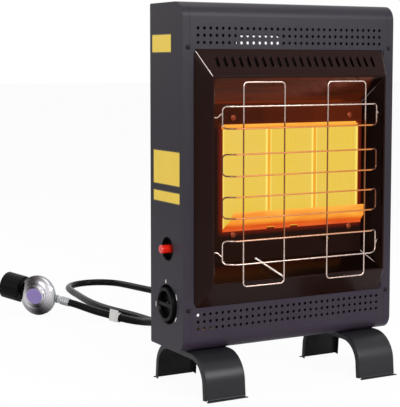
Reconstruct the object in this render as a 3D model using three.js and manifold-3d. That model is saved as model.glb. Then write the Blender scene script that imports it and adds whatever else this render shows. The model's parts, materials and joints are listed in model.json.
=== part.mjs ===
// Cabinet patio heater for bottled gas, in millimetres, +Z up.
// It is modelled from the case's left, front, bottom corner: X runs right along the front,
// Y runs back through the case and Z runs up. One group moves it all to the origin on the floor.
import * as THREE from 'three';
import { mergeGeometries, mergeVertices } from 'three/addons/utils/BufferGeometryUtils.js';
import Module from 'manifold-3d';

const wasm = await Module();
wasm.setup();

// Driving dimensions: clearances and stock
const gap = 0.3;
const overrun = 5;
const sheet = 1.2;
const weldTolerance = 0.0001;

// Case
const caseWidth = 432;
const caseDepth = 119;
const caseHeight = 590;
const caseFrontRadius = 25;
const caseBackBevel = 2;
const sideFlange = 13.7;
const frontFlange = 20.7;
const joggleStart = 12;
const joggleEnd = 25;
const arcSegments = 4;

// Front bezel: a sloping frame whose opening follows the case's size
const bezelMargin = 21;
const bezelTopMargin = 79;
const bezelBottom = 77;
const bezelLeft = bezelMargin;
const bezelRight = caseWidth - bezelMargin;
const bezelTop = caseHeight - bezelTopMargin;
const bezelCornerRadius = 12;
const bezelWall = 1.6;
const bezelLap = 6;
const ridgeLeft = bezelLeft + 18.5;
const ridgeRight = bezelRight - 18;
const ridgeBottom = bezelBottom + 41;
const ridgeTop = bezelTop - 44;
const ridgeCornerRadius = 2;
const ridgeDepth = 31;
const ridgeLip = 3;
const louvreCount = 22;
const louvreMargin = 18;
const louvreWidth = 5;
const louvreTopShare = 0.27;
const louvreBottomShare = 0.66;
const louvreHoodWidth = 4;
const louvreHoodRise = 2.6;

// Reflector throat
const throatLeft = ridgeLeft + 23.5;
const throatRight = ridgeRight - 24;
const throatBottom = ridgeBottom + 31;
const throatTop = ridgeTop - 47;
const throatDepth = 7;

// Perforations of the top and bottom panels
const holePitch = 12;
const holeRadius = 3;
const holeSides = 6;
const holeRows = 3;
const firstHoleX = 29.1;
const holeColumns = 1 + Math.floor((caseWidth - 2 * firstHoleX) / holePitch);
const topRowZ = bezelTop + 35.1;
const bottomRowZ = bezelBottom - 12.25;

// Hand slot and vent hole of the back panel
const handSlotWidth = 96;
const handSlotHeight = 32.5;
const handSlotTopMargin = 52.5;
const handSlotBottom = caseHeight - handSlotTopMargin - handSlotHeight;
const handSlotRadius = 7;
const handSlotReturn = 7;
const ventHoleRadius = 8;
const ventHoleX = 94;
const ventHoleZ = 37;

// Burner
const plateOverlap = 7;
const plaqueCount = 3;
const plaqueSeam = 5;
const plaqueFirstX = throatLeft + 18;
const plaqueLastX = throatRight - 8;
const plaqueWidth = (plaqueLastX - plaqueFirstX - (plaqueCount - 1) * plaqueSeam) / plaqueCount;
const plaqueBottom = throatBottom + 56;
const plaqueTop = throatTop - 43.5;
const plaqueThickness = 12;
const plaqueSeat = 2;
const gasketThickness = 3;
const housingDepth = 34;
const housingFlange = 9;
const lipHeight = 8;
const lipReach = 7;
const lipOverhang = 3;
const railLeft = plaqueFirstX - 1;
const railRight = throatRight - 1;
const railBottom = plaqueBottom + 1;
const railTop = railBottom + 34;
const railFlange = 5;
const railReach = 14;
const railSlant = 14;
const railNotchWidth = 16;
const railNotchShares = [1 / 3, 1 / 2];
const burnerScrewXs = [plaqueFirstX + 20, plaqueLastX - 19];
const burnerScrewTopZ = plaqueTop + 19.5;
const burnerScrewBottomZ = plaqueBottom - 9;
const bracketBottom = plaqueBottom + 25;
const bracketTop = plaqueTop - 6.5;
const bracketLap = 12;
const bracketFoot = 24;

// Heat shield behind the burner
const shieldOverhang = 7;
const shieldLeft = plaqueFirstX - shieldOverhang;
const shieldRight = plaqueLastX - plaqueSeat;
const shieldBottom = plaqueBottom - 35;
const shieldTop = ridgeTop + 3;
const shieldFront = caseDepth - 35;

// Wire guard, with its loops placed as shares of the opening
const wireRadius = 1.5;
const wireSides = 6;
const wireWeld = 0.25;
const guardDepth = 45;
const guardEndDepth = 30;
const guardLeft = throatLeft - 4.5;
const guardRight = throatRight + 5;
const guardBendLeft = guardLeft + 21.5;
const guardBendRight = guardRight - 22;
const guardCornerRadius = 7;
const guardCornerSteps = 2;
const uprightLoopShares = [[0.106, 0.362], [0.641, 0.893]];
const uprightBottom = ridgeBottom - 3.5;
const uprightTop = ridgeTop - 10.3;
const crossLoopShares = [[0.75, 0.856], [0.5235, 0.628], [0.321, 0.4235], [0.1, 0.213]];
const hookLength = 21;

// Control knob in its well
const knobY = 56.5;
const knobZ = 76.5;
const knobRadius = 30.5;
const knobFace = 6;
const knobBack = 9.5;
const knobEdge = 1;
const knobTaper = 1.5;
const knobDishRadius = 23;
const knobDishDepth = 10;
const knobGripHeight = 6;
const knobPush = 4;
const wellRadius = 35;
const wellClearance = 1.5;
const wellDepth = knobBack + knobPush + wellClearance + sheet;
const wellBore = 8;

// Gas valve
const stemRadius = 4;
const stemEnd = 36;
const running = 0.05;
const valveFront = 24;
const valveBack = 62;
const valveSize = 30;
const valveBossRadius = 11;
const valvePortX = 42;
const plugRadius = 9;
const plugFront = 26;
const plugBack = 46;

// Igniter
const buttonY = 56;
const buttonZ = 172.5;
const buttonRadius = 7.4;
const buttonEdge = 1.5;
const buttonFace = 14;
const buttonLength = 32;
const buttonPush = 8;
const cupRadius = 21;
const cupDepth = 12;
const piezoRadius = 11;
const piezoFlange = 5;
const piezoLength = 50;
const piezoTaper = 4;
const piezoBore = 7.7;
const springSpace = 2;

// Feet
const footHeight = 74;
const footWidth = 78.5;
const leftFootX = 20;
const footSheet = 1.5;
const footHalfDepth = 94;
const footForward = 9;
const footSplay = 2;
const footLip = 6.5;
const footShoulderRadius = 50;
const footEdgeWidth = 11;
const footBoltInset = 36;
const footSegments = 5;

// Gas line inside the case
const inletX = 118;
const inletZ = 41;
const connectorRadius = 7;
const connectorShoulder = 4;
const connectorLength = 24;
const pipeRadius = 4;
const pipeStub = 8;
const pipeBend = 20;
const pipeDip = 12;
const venturiX = plaqueFirstX + 31;
const venturiY = 44;
const venturiRadius = 12;
const venturiNeckRadius = 11;
const venturiMouthRadius = 17;
const venturiSides = 12;
const venturiBottom = plaqueBottom - 77;
const venturiNeckStart = 18;
const venturiNeckEnd = 34;
const venturiFlare = 20;
const injectorRadius = 6;
const injectorLength = 20;
const injectorTaper = 5;
const standHalfWidth = 3;
const standReach = 18;

// Leads to the electrode and from the probe
const leadRadius = 1.5;
const leadSides = 8;
const leadStub = 8;
const leadSweep = 24;
const leadDip = 12;
const leadClearance = 16;

// Electrode and probe through the burner plate, below the plaques
const electrodeX = throatLeft + 83;
const electrodeZ = throatBottom + 2.5;
const electrodeReach = 29;
const electrodeDrop = 27;
const electrodeTipDepth = guardDepth - 8;
const electrodeRadius = 1.5;
const electrodeBall = 2.2;
const insulatorRadius = 4;
const insulatorLength = 24;
const probeX = throatRight - 79;
const probeZ = railBottom - 28;
const probeRadius = 3;
const probeLength = 40;
const probeTipShare = 0.25;

// Screws
const screwHeadRadius = 4;
const screwHeadHeight = 2.4;
const screwShankRadius = 2;
const screwShankLength = 7;
const screwSides = 8;
const caseScrewX = 9.95;
const caseScrewTopZ = bezelTop + 3.3;
const caseScrewBottomZ = bezelBottom - 3.2;

// Hose and its fittings
const hoseRadius = 8;
const hoseSides = 8;
const hoseSteps = 60;
const reliefRadius = 13;
const reliefLength = 36;
const reliefLip = 1.5;
const reliefBoreDepth = 10;
const ferruleLength = 22;
const ferruleRadius = 9.4;
const ferruleGroove = 1;
const fittingLength = 9;
const fittingRadius = 8.5;
const tagFromEnd = 123;
const tagLength = 22;
const tagHeight = 26;
const tagDrop = 8.5;
const tagThickness = 0.8;

// Regulator, leaning a little toward the hose, and its hand nut
const regulatorX = 42;
const regulatorY = 766;
const regulatorRadius = 44.5;
const regulatorHeading = -0.95;
const regulatorTilt = 0.1658;
const regulatorRim = 3;
const regulatorBack = 22;
const regulatorFront = 17;
const regulatorSides = 28;
const regulatorBackShares = [[1 / 3, 1], [0.8, 0.6], [0.93, 0.18]];
const regulatorFrontShares = [[1, 0.35], [0.94, 0.47], [0.62, 0.82], [0.48, 0.88], [0.44, 1]];
const portRadius = 9;
const inletPortRadius = 12;
const portY = 10;
const portReach = 45;
const portRootShare = 0.7;
const nozzleRadius = 8;
const nozzleTipRadius = 6;
const nozzleTaper = 4;
const nutRadius = 30;
const nutLength = 46;
const nutStart = 47;
const nutRibs = 24;
const nutRibDepth = 1;
const nutRunning = 0.3;
const nutMouthShare = 0.62;

// Places worked out from the sizes above
const overallLeft = -buttonFace;
const centreX = (overallLeft + caseWidth) / 2;
const centreY = caseDepth / 2 - footForward;
const plateFront = throatDepth + gap;
const plateBack = plateFront + sheet;
const plaqueFront = plateBack + gap;
const plaqueBack = plaqueFront + plaqueThickness;
const gasketFront = plaqueBack + gap;
const housingFront = gasketFront + gasketThickness + gap;
const housingBack = housingFront + housingDepth;
const injectorBottom = venturiBottom - injectorLength;
const insulatorFront = plateBack + gap;
const valveBottom = knobZ - valveSize / 2;
const floorZ = -footHeight;

const X = new THREE.Vector3(1, 0, 0);
const Y = new THREE.Vector3(0, 1, 0);
const Z = new THREE.Vector3(0, 0, 1);

// Geometry helpers

// Welds a geometry into one closed skin, drops flat triangles and turns its faces outward.
function weld(geometry) {
  const bare = geometry.clone();
  bare.deleteAttribute('normal');
  bare.deleteAttribute('uv');
  const merged = mergeVertices(bare, weldTolerance);
  const corners = merged.index.array;
  const kept = [];
  for (let i = 0; i < corners.length; i += 3) {
    const [a, b, c] = corners.slice(i, i + 3);
    if (a !== b && b !== c && c !== a) kept.push(a, b, c);
  }
  const place = merged.attributes.position;
  const p = new THREE.Vector3();
  const q = new THREE.Vector3();
  const r = new THREE.Vector3();
  let volume = 0;
  for (let i = 0; i < kept.length; i += 3) {
    p.fromBufferAttribute(place, kept[i]);
    q.fromBufferAttribute(place, kept[i + 1]);
    r.fromBufferAttribute(place, kept[i + 2]);
    volume += p.dot(q.cross(r));
  }
  merged.setIndex(volume < 0 ? kept.reverse() : kept);
  return merged;
}

function solid(geometry) {
  const skin = weld(geometry);
  return new wasm.Manifold(new wasm.Mesh({
    numProp: 3,
    vertProperties: new Float32Array(skin.attributes.position.array),
    triVerts: new Uint32Array(skin.index.array),
  }));
}

function geometryOf(body) {
  const mesh = body.simplify(weldTolerance).getMesh();
  const geometry = new THREE.BufferGeometry();
  geometry.setAttribute('position', new THREE.BufferAttribute(mesh.vertProperties, mesh.numProp));
  geometry.setIndex(new THREE.BufferAttribute(mesh.triVerts, 1));
  return geometry;
}

function join(...bodies) {
  return bodies.reduce((all, body) => all.add(body));
}

function cut(body, ...tools) {
  return tools.reduce((rest, tool) => rest.subtract(tool), body);
}

// A box between two corners.
function box(x0, x1, y0, y1, z0, z1) {
  const geometry = new THREE.BoxGeometry(x1 - x0, y1 - y0, z1 - z0);
  geometry.translate((x0 + x1) / 2, (y0 + y1) / 2, (z0 + z1) / 2);
  return solid(geometry);
}

function extrusion(shape, length, segments) {
  return new THREE.ExtrudeGeometry(shape, {
    depth: length, steps: 1, bevelEnabled: false, curveSegments: segments,
  });
}

// A profile in (Y, Z) drawn out along X.
function alongX(shape, x0, x1, segments = arcSegments) {
  const geometry = extrusion(shape, x1 - x0, segments);
  geometry.applyMatrix4(new THREE.Matrix4().makeBasis(Y, Z, X));
  geometry.translate(x0, 0, 0);
  return solid(geometry);
}

// A profile in (X, Z) drawn out along Y.
function alongY(shape, y0, y1, segments = arcSegments) {
  const geometry = extrusion(shape, y1 - y0, segments);
  geometry.applyMatrix4(new THREE.Matrix4().makeBasis(X, Z, Y.clone().negate()));
  geometry.translate(0, y1, 0);
  return solid(geometry);
}

// A profile of (radius, height) pairs turned about an axis through the given point.
function turned(profile, axis, place, sides = 24) {
  const points = profile.map(([radius, height]) => new THREE.Vector2(radius, height));
  const geometry = new THREE.LatheGeometry(points, sides);
  geometry.applyQuaternion(new THREE.Quaternion().setFromUnitVectors(Y, axis));
  geometry.translate(place.x, place.y, place.z);
  return solid(geometry);
}

function rod(radius, start, end, axis, place, sides = 24) {
  return turned([[0, start], [radius, start], [radius, end], [0, end]], axis, place, sides);
}

// A hole with flat sides that clears a round shank of the given radius.
function hole(radius, start, end, axis, place, sides = screwSides) {
  return rod((radius + gap) / Math.cos(Math.PI / sides), start, end, axis, place, sides);
}

// A closed ring profile between an inner and an outer radius.
function ringRod(inner, outer, start, end, axis, place, sides = 24) {
  const profile = [[inner, start], [outer, start], [outer, end], [inner, end], [inner, start]];
  return turned(profile, axis, place, sides);
}

// Rings of points, each joined to the next and the last to the first.
function loft(rings) {
  const count = rings[0].length;
  const positions = rings.flat().flatMap((point) => point.toArray());
  const index = [];
  rings.forEach((ring, i) => {
    const next = (i + 1) % rings.length;
    for (let j = 0; j < count; j += 1) {
      const k = (j + 1) % count;
      index.push(i * count + j, next * count + j, next * count + k);
      index.push(i * count + j, next * count + k, i * count + k);
    }
  });
  const geometry = new THREE.BufferGeometry();
  geometry.setAttribute('position', new THREE.Float32BufferAttribute(positions, 3));
  geometry.setIndex(index);
  return solid(geometry);
}

// Corner points of a rounded rectangle as [a, b] pairs, the same number for every size.
function roundedRectangle(a0, a1, b0, b1, radius, steps) {
  const corners = [[a1 - radius, b0 + radius, -1], [a1 - radius, b1 - radius, 0],
    [a0 + radius, b1 - radius, 1], [a0 + radius, b0 + radius, 2]];
  return corners.flatMap(([a, b, quarter]) => Array.from({ length: steps + 1 }, (_, i) => {
    const angle = (quarter + i / steps) * Math.PI / 2;
    return [a + radius * Math.cos(angle), b + radius * Math.sin(angle)];
  }));
}

function roundedRectangleShape(a0, a1, b0, b1, radius, steps = 3) {
  const points = roundedRectangle(a0, a1, b0, b1, radius, steps);
  return new THREE.Shape(points.map(([a, b]) => new THREE.Vector2(a, b)));
}

// A rectangle in the front view at a depth, as a ring of points for a loft.
function frontRing(left, right, bottom, top, radius, depth) {
  const points = roundedRectangle(left, right, bottom, top, radius, 3);
  return points.map(([x, z]) => new THREE.Vector3(x, depth, z));
}

// A round wire bent along a closed path whose loop faces the front.
function wireLoop(path) {
  const rings = path.map((point, i) => {
    const before = path[(i + path.length - 1) % path.length];
    const after = path[(i + 1) % path.length];
    const side = after.clone().sub(before).cross(Y).normalize();
    return Array.from({ length: wireSides }, (_, j) => {
      const angle = 2 * Math.PI * (j + 0.5) / wireSides;
      return point.clone()
        .addScaledVector(side, wireRadius * Math.cos(angle))
        .addScaledVector(Y, wireRadius * Math.sin(angle));
    });
  });
  return loft(rings);
}

function circleShape(radius, sides) {
  const points = Array.from({ length: sides }, (_, i) => {
    const angle = 2 * Math.PI * (i + 0.5) / sides;
    return new THREE.Vector2(radius * Math.cos(angle), radius * Math.sin(angle));
  });
  return new THREE.Shape(points);
}

// A round tube along a smooth curve through the points.
function tube(points, radius, sides, steps) {
  const curve = new THREE.CatmullRomCurve3(points.map((point) => new THREE.Vector3(...point)));
  return new THREE.ExtrudeGeometry(circleShape(radius, sides), { steps, extrudePath: curve });
}

// Assembly: every piece is one named mesh
const assembly = new THREE.Group();
assembly.position.set(-centreX, -centreY, footHeight);

function addPiece(name, body, finish, parent = assembly) {
  const geometry = body.isBufferGeometry ? body : geometryOf(body);
  const mesh = new THREE.Mesh(geometry, new THREE.MeshStandardMaterial(finish));
  mesh.name = name;
  parent.add(mesh);
}

const charcoal = { color: 0x3b393e, roughness: 0.45, metalness: 0.3 };
const blackPaint = { color: 0x1d1c1e, roughness: 0.4, metalness: 0.2 };
const darkSteel = { color: 0x4a2a1e, roughness: 0.35, metalness: 0.8 };
const glowingSteel = { color: 0xe8772a, roughness: 0.5, metalness: 0.4 };
const glowingCeramic = { color: 0xebcd46, roughness: 0.9, metalness: 0 };
const chrome = { color: 0xd8d8dc, roughness: 0.15, metalness: 1 };
const zincPlate = { color: 0xa9abae, roughness: 0.35, metalness: 0.9 };
const brass = { color: 0xb5924c, roughness: 0.35, metalness: 1 };
const blackPlastic = { color: 0x161617, roughness: 0.5, metalness: 0 };
const redPlastic = { color: 0xc51f17, roughness: 0.35, metalness: 0 };
const blackRubber = { color: 0x141415, roughness: 0.6, metalness: 0 };
const whiteFilm = { color: 0xf1f0ee, roughness: 0.5, metalness: 0 };
const fibre = { color: 0xded8c8, roughness: 1, metalness: 0 };
const ceramicWhite = { color: 0xe9e4d8, roughness: 0.4, metalness: 0 };

// Case outline in (Y, Z), set in by a distance: round front corners, bevelled back corners.
function caseOutline(inset) {
  const front = caseFrontRadius - inset;
  const back = caseBackBevel;
  const [y0, y1] = [inset, caseDepth - inset];
  const [z0, z1] = [inset, caseHeight - inset];
  const shape = new THREE.Shape();
  shape.moveTo(y1 - back, z1);
  shape.lineTo(y0 + front, z1);
  shape.absarc(y0 + front, z1 - front, front, Math.PI / 2, Math.PI, false);
  shape.lineTo(y0, z0 + front);
  shape.absarc(y0 + front, z0 + front, front, Math.PI, 1.5 * Math.PI, false);
  shape.lineTo(y1 - back, z0);
  shape.lineTo(y1, z0 + back);
  shape.lineTo(y1, z1 - back);
  return shape;
}

function caseRing(outer, inner, x0, x1) {
  return cut(alongX(caseOutline(outer), x0, x1),
    alongX(caseOutline(inner), x0 - overrun, x1 + overrun));
}

// A side panel as a tray: flat plate, flange all round, a wider flange beside the bezel and a
// stepped inner ledge that the wrap-over panels lie on.
function sidePanelBlank() {
  const plate = alongX(caseOutline(0), 0, sheet);
  const flange = caseRing(0, sheet, sheet / 2, sideFlange);
  const frontStrip = box(joggleStart, frontFlange, 0, sheet, bezelBottom, bezelTop);
  const step = caseRing(sheet / 2, 2 * sheet + gap, joggleStart, sideFlange);
  const ledge = caseRing(sheet + gap, 2 * sheet + gap, joggleStart, joggleEnd);
  return join(plate, flange, frontStrip, step, ledge);
}

function caseScrewHoles() {
  return [caseScrewBottomZ, caseScrewTopZ].map((z) => hole(screwShankRadius, -overrun, overrun,
    Y, new THREE.Vector3(caseScrewX, 0, z)));
}

function addSidePanels() {
  const blank = cut(sidePanelBlank(), ...caseScrewHoles());
  const knobHole = rod(wellRadius + gap, -overrun, overrun, X,
    new THREE.Vector3(0, knobY, knobZ));
  const cupHole = rod(cupRadius + gap, -overrun, overrun, X,
    new THREE.Vector3(0, buttonY, buttonZ));
  addPiece('left_side_panel', cut(blank, knobHole, cupHole), charcoal);
  addPiece('right_side_panel', blank.mirror([1, 0, 0]).translate([caseWidth, 0, 0]), charcoal);
}

// Rows of six-sided holes through a front face.
function perforations(firstRowZ) {
  const punches = [];
  for (let row = 0; row < holeRows; row += 1) {
    for (let column = 0; column < holeColumns; column += 1) {
      const punch = new THREE.CylinderGeometry(holeRadius, holeRadius, 2 * overrun, holeSides);
      punch.translate(firstHoleX + column * holePitch, 0, firstRowZ - row * holePitch);
      punches.push(weld(punch));
    }
  }
  return solid(mergeGeometries(punches));
}

// A perforated panel that wraps from the front face over the case's top or bottom.
function wrapPanel(z0, z1) {
  const skin = cut(alongX(caseOutline(0), sideFlange + gap, caseWidth - sideFlange - gap),
    alongX(caseOutline(sheet), 0, caseWidth));
  const band = box(0, caseWidth, -overrun, caseDepth - sheet - 2 * gap, z0, z1);
  return skin.intersect(band);
}

function footBoltPlaces() {
  const lefts = [leftFootX, caseWidth - leftFootX - footWidth];
  return lefts.flatMap((left) => [footBoltInset, caseDepth - footBoltInset]
    .map((y) => new THREE.Vector3(left + footWidth / 2, y, 0)));
}

function footBoltHoles() {
  return footBoltPlaces().map((place) => hole(screwShankRadius, -overrun, overrun, Z, place));
}

function addWrapPanels() {
  const top = wrapPanel(bezelTop + gap, caseHeight + overrun);
  addPiece('top_grille_panel', cut(top, perforations(topRowZ)), charcoal);
  const bottom = wrapPanel(-overrun, bezelBottom - gap);
  addPiece('bottom_grille_panel', cut(bottom, perforations(bottomRowZ), ...footBoltHoles()),
    charcoal);
}

// Back panel with a rounded hand slot whose edge is turned inward, and two holes low down.
function addBackPanel() {
  const inside = sheet + gap;
  const plate = box(sideFlange + gap, caseWidth - sideFlange - gap, caseDepth - sheet, caseDepth,
    inside, caseHeight - inside);
  const left = (caseWidth - handSlotWidth) / 2;
  const slotSides = [left, left + handSlotWidth, handSlotBottom, handSlotBottom + handSlotHeight];
  const slot = alongY(roundedRectangleShape(...slotSides, handSlotRadius),
    caseDepth - handSlotReturn - overrun, caseDepth + overrun);
  const rimSides = [left - sheet, left + handSlotWidth + sheet, handSlotBottom - sheet,
    handSlotBottom + handSlotHeight + sheet];
  const rim = alongY(roundedRectangleShape(...rimSides, handSlotRadius + sheet),
    caseDepth - handSlotReturn, caseDepth - sheet / 2);
  const vent = rod(ventHoleRadius, -overrun, overrun, Y,
    new THREE.Vector3(ventHoleX, caseDepth, ventHoleZ), screwSides);
  const inlet = hole(connectorRadius, -overrun, overrun, Y,
    new THREE.Vector3(inletX, caseDepth, inletZ));
  addPiece('back_panel', cut(join(plate, rim), slot, vent, inlet), charcoal);
}

// Screw with a domed head that faces along the axis.
function screw(place, axis) {
  const profile = [[0, -screwShankLength], [screwShankRadius, -screwShankLength],
    [screwShankRadius, gap], [screwHeadRadius, gap], [screwHeadRadius, gap + screwHeadHeight / 3],
    [screwHeadRadius / 2, gap + screwHeadHeight], [0, gap + screwHeadHeight]];
  return turned(profile, axis, place, screwSides);
}

function addScrews() {
  const front = Y.clone().negate();
  let number = 1;
  for (const z of [caseScrewTopZ, caseScrewBottomZ]) {
    for (const x of [caseScrewX, caseWidth - caseScrewX]) {
      addPiece(`case_screw_${number}`, screw(new THREE.Vector3(x, 0, z), front), blackPaint);
      number += 1;
    }
  }
  number = 1;
  for (const z of [burnerScrewTopZ, burnerScrewBottomZ]) {
    for (const x of burnerScrewXs) {
      const place = new THREE.Vector3(x, plateFront, z);
      addPiece(`burner_screw_${number}`, screw(place, front), darkSteel);
      number += 1;
    }
  }
  footBoltPlaces().forEach((place, i) => {
    const under = place.clone().setZ(-gap - footSheet);
    addPiece(`foot_bolt_${i + 1}`, screw(under, Z.clone().negate()), zincPlate);
  });
}

// The bezel stands forward of the case: four sloping walls with mitred corners up to a ridge.
function bezelFrame() {
  return loft([
    frontRing(bezelLeft, bezelRight, bezelBottom, bezelTop, bezelCornerRadius, sheet),
    frontRing(bezelLeft, bezelRight, bezelBottom, bezelTop, bezelCornerRadius, 0),
    frontRing(ridgeLeft, ridgeRight, ridgeBottom, ridgeTop, ridgeCornerRadius, -ridgeDepth),
    frontRing(ridgeLeft + ridgeLip, ridgeRight - ridgeLip, ridgeBottom + ridgeLip,
      ridgeTop - ridgeLip, ridgeCornerRadius, -ridgeDepth),
    frontRing(ridgeLeft + ridgeLip, ridgeRight - ridgeLip, ridgeBottom + ridgeLip,
      ridgeTop - ridgeLip, ridgeCornerRadius, -ridgeDepth + sheet),
    frontRing(ridgeLeft + bezelWall, ridgeRight - bezelWall, ridgeBottom + bezelWall,
      ridgeTop - bezelWall, ridgeCornerRadius, -ridgeDepth + sheet),
    frontRing(bezelLeft + bezelWall, bezelRight - bezelWall, bezelBottom + bezelWall,
      bezelTop - bezelWall, bezelCornerRadius, sheet),
  ]);
}

// A point on the top wall's outer face, by its share of the way from the case to the ridge.
function topWallPoint(share, rise) {
  return new THREE.Vector2(-ridgeDepth * share, bezelTop + (ridgeTop - bezelTop) * share + rise);
}

function louvreProfile(startShare, endShare, below, above) {
  return new THREE.Shape([topWallPoint(startShare, -below), topWallPoint(endShare, -below),
    topWallPoint(endShare, above), topWallPoint(startShare, above)]);
}

// A pressed hood beside a slot: a low wedge that rises toward the slot.
function louvreHood(x) {
  const [start, end] = [louvreTopShare, louvreBottomShare].map((share) => {
    const foot = topWallPoint(share, -bezelWall / 2);
    const crest = topWallPoint(share, louvreHoodRise);
    return [new THREE.Vector3(x, foot.x, foot.y), new THREE.Vector3(x, crest.x, crest.y),
      new THREE.Vector3(x + louvreHoodWidth, foot.x, foot.y)];
  });
  const positions = [...start, ...end].flatMap((point) => point.toArray());
  const geometry = new THREE.BufferGeometry();
  geometry.setAttribute('position', new THREE.Float32BufferAttribute(positions, 3));
  geometry.setIndex([0, 2, 1, 3, 4, 5, 0, 1, 4, 0, 4, 3, 1, 2, 5, 1, 5, 4, 2, 0, 3, 2, 3, 5]);
  return solid(geometry);
}

// Strips behind the grille panels that close the joints above and below the bezel.
function bezelLaps() {
  const left = bezelLeft + bezelCornerRadius;
  const right = bezelRight - bezelCornerRadius;
  const back = 2 * sheet + gap;
  return [[bezelTop - bezelWall, bezelTop, bezelTop + bezelLap],
    [bezelBottom + bezelWall, bezelBottom, bezelBottom - bezelLap]].flatMap(([inner, edge, end]) => [
    box(left, right, sheet / 2, back, Math.min(inner, edge), Math.max(inner, edge)),
    box(left, right, sheet + gap, back, Math.min(inner, end), Math.max(inner, end)),
  ]);
}

function addBezel() {
  let frame = join(bezelFrame(), ...bezelLaps());
  const firstLouvreX = ridgeLeft + louvreMargin;
  const pitch = (ridgeRight - louvreMargin - firstLouvreX) / (louvreCount - 1);
  const wallCut = 4 * bezelWall;
  for (let i = 0; i < louvreCount; i += 1) {
    const x = firstLouvreX + i * pitch;
    frame = frame.add(louvreHood(x + louvreWidth / 2));
    const profile = louvreProfile(louvreTopShare, louvreBottomShare, wallCut, wallCut);
    frame = frame.subtract(alongX(profile, x - louvreWidth / 2, x + louvreWidth / 2));
  }
  addPiece('front_bezel', frame, charcoal);
}

// Axis of a guard hook where it passes through a reflector side wall, seen from above.
function hookLine(fromLeft) {
  const across = new THREE.Vector3(throatLeft - ridgeLeft, throatDepth + ridgeDepth, 0).normalize();
  const outward = new THREE.Vector3(-across.y, across.x, 0);
  const start = new THREE.Vector3(guardLeft, -guardEndDepth, 0);
  if (fromLeft) return { start, outward };
  const mirror = ridgeLeft + ridgeRight;
  return {
    start: new THREE.Vector3(mirror - guardLeft, start.y, 0),
    outward: new THREE.Vector3(-outward.x, outward.y, 0),
  };
}

function hookHeights() {
  const heights = crossLoopHeights();
  return [heights[0], heights[heights.length - 1]].map(([low, high]) => (low + high) / 2);
}

function hooks(radius, length, sides) {
  return hookHeights().flatMap((z) => [true, false].map((left) => {
    const { start, outward } = hookLine(left);
    return rod(radius, 0, length, outward, start.clone().setZ(z), sides);
  }));
}

// The reflector runs from inside the bezel's ridge back to the burner.
function addReflector() {
  const rim = ridgeLip + gap;
  const shell = loft([
    frontRing(ridgeLeft + rim, ridgeRight - rim, ridgeBottom + rim, ridgeTop - rim,
      ridgeCornerRadius, -ridgeDepth + gap),
    frontRing(throatLeft, throatRight, throatBottom, throatTop, ridgeCornerRadius, throatDepth),
    frontRing(throatLeft - bezelWall, throatRight + bezelWall, throatBottom - bezelWall,
      throatTop + bezelWall, ridgeCornerRadius, throatDepth),
    frontRing(ridgeLeft + rim - bezelWall, ridgeRight - rim + bezelWall,
      ridgeBottom + rim - bezelWall, ridgeTop - rim + bezelWall, ridgeCornerRadius,
      -ridgeDepth + sheet + gap),
    frontRing(ridgeLeft + rim - gap, ridgeRight - rim + gap, ridgeBottom + rim - gap,
      ridgeTop - rim + gap, ridgeCornerRadius, -ridgeDepth + sheet + gap),
  ]);
  addPiece('reflector', cut(shell, ...hooks(wireRadius + 2 * gap, hookLength, wireSides)),
    darkSteel);
}

function plaqueLefts() {
  return Array.from({ length: plaqueCount },
    (_, i) => plaqueFirstX + i * (plaqueWidth + plaqueSeam));
}

// Boxes over the plaque windows, grown by a margin, between two depths.
function plaqueBoxes(grow, y0, y1) {
  return plaqueLefts().map((left) => box(left - grow, left + plaqueWidth + grow, y0, y1,
    plaqueBottom - grow, plaqueTop + grow));
}

function burnerScrewHoles(y0, y1) {
  const places = [burnerScrewTopZ, burnerScrewBottomZ].flatMap((z) => burnerScrewXs
    .map((x) => new THREE.Vector3(x, 0, z)));
  return places.map((place) => hole(screwShankRadius, y0, y1, Y, place));
}

function addBurner() {
  const plate = box(throatLeft - plateOverlap, throatRight + plateOverlap, plateFront, plateBack,
    throatBottom - plateOverlap, throatTop + plateOverlap);
  const windows = plaqueBoxes(0, plateFront - overrun, plateBack + overrun);
  const probeHoles = [electrodeHole(), probeHole()];
  addPiece('burner_front_plate', cut(plate, ...windows,
    ...burnerScrewHoles(plateFront - overrun, plateBack + overrun), ...probeHoles), darkSteel);

  plaqueBoxes(plaqueSeat, plaqueFront, plaqueBack).forEach((plaque, i) => {
    addPiece(`ceramic_plaque_${i + 1}`, plaque, glowingCeramic);
  });

  const burnerLeft = plaqueFirstX - housingFlange;
  const burnerRight = plaqueLastX + housingFlange;
  const burnerBottom = plaqueBottom - housingFlange;
  const burnerTop = plaqueTop + housingFlange;
  const gasket = box(burnerLeft, burnerRight, gasketFront, gasketFront + gasketThickness,
    burnerBottom, burnerTop);
  const gasketWindows = plaqueBoxes(-plaqueSeat, gasketFront - overrun, housingFront + overrun);
  addPiece('plaque_gasket', cut(gasket, ...gasketWindows), fibre);

  const flange = box(burnerLeft, burnerRight, housingFront, housingFront + sheet, burnerBottom,
    burnerTop);
  const tray = box(plaqueFirstX, plaqueLastX, housingFront, housingBack, plaqueBottom, plaqueTop);
  const hollow = box(plaqueFirstX + sheet, plaqueLastX - sheet, housingFront - overrun,
    housingBack - sheet, plaqueBottom + sheet, plaqueTop - sheet);
  const mouth = hole(venturiRadius, plaqueBottom - overrun, plaqueBottom + overrun, Z,
    new THREE.Vector3(venturiX, venturiY, 0), venturiSides);
  addPiece('burner_housing', cut(join(flange, tray), hollow, mouth), darkSteel);
}

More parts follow.
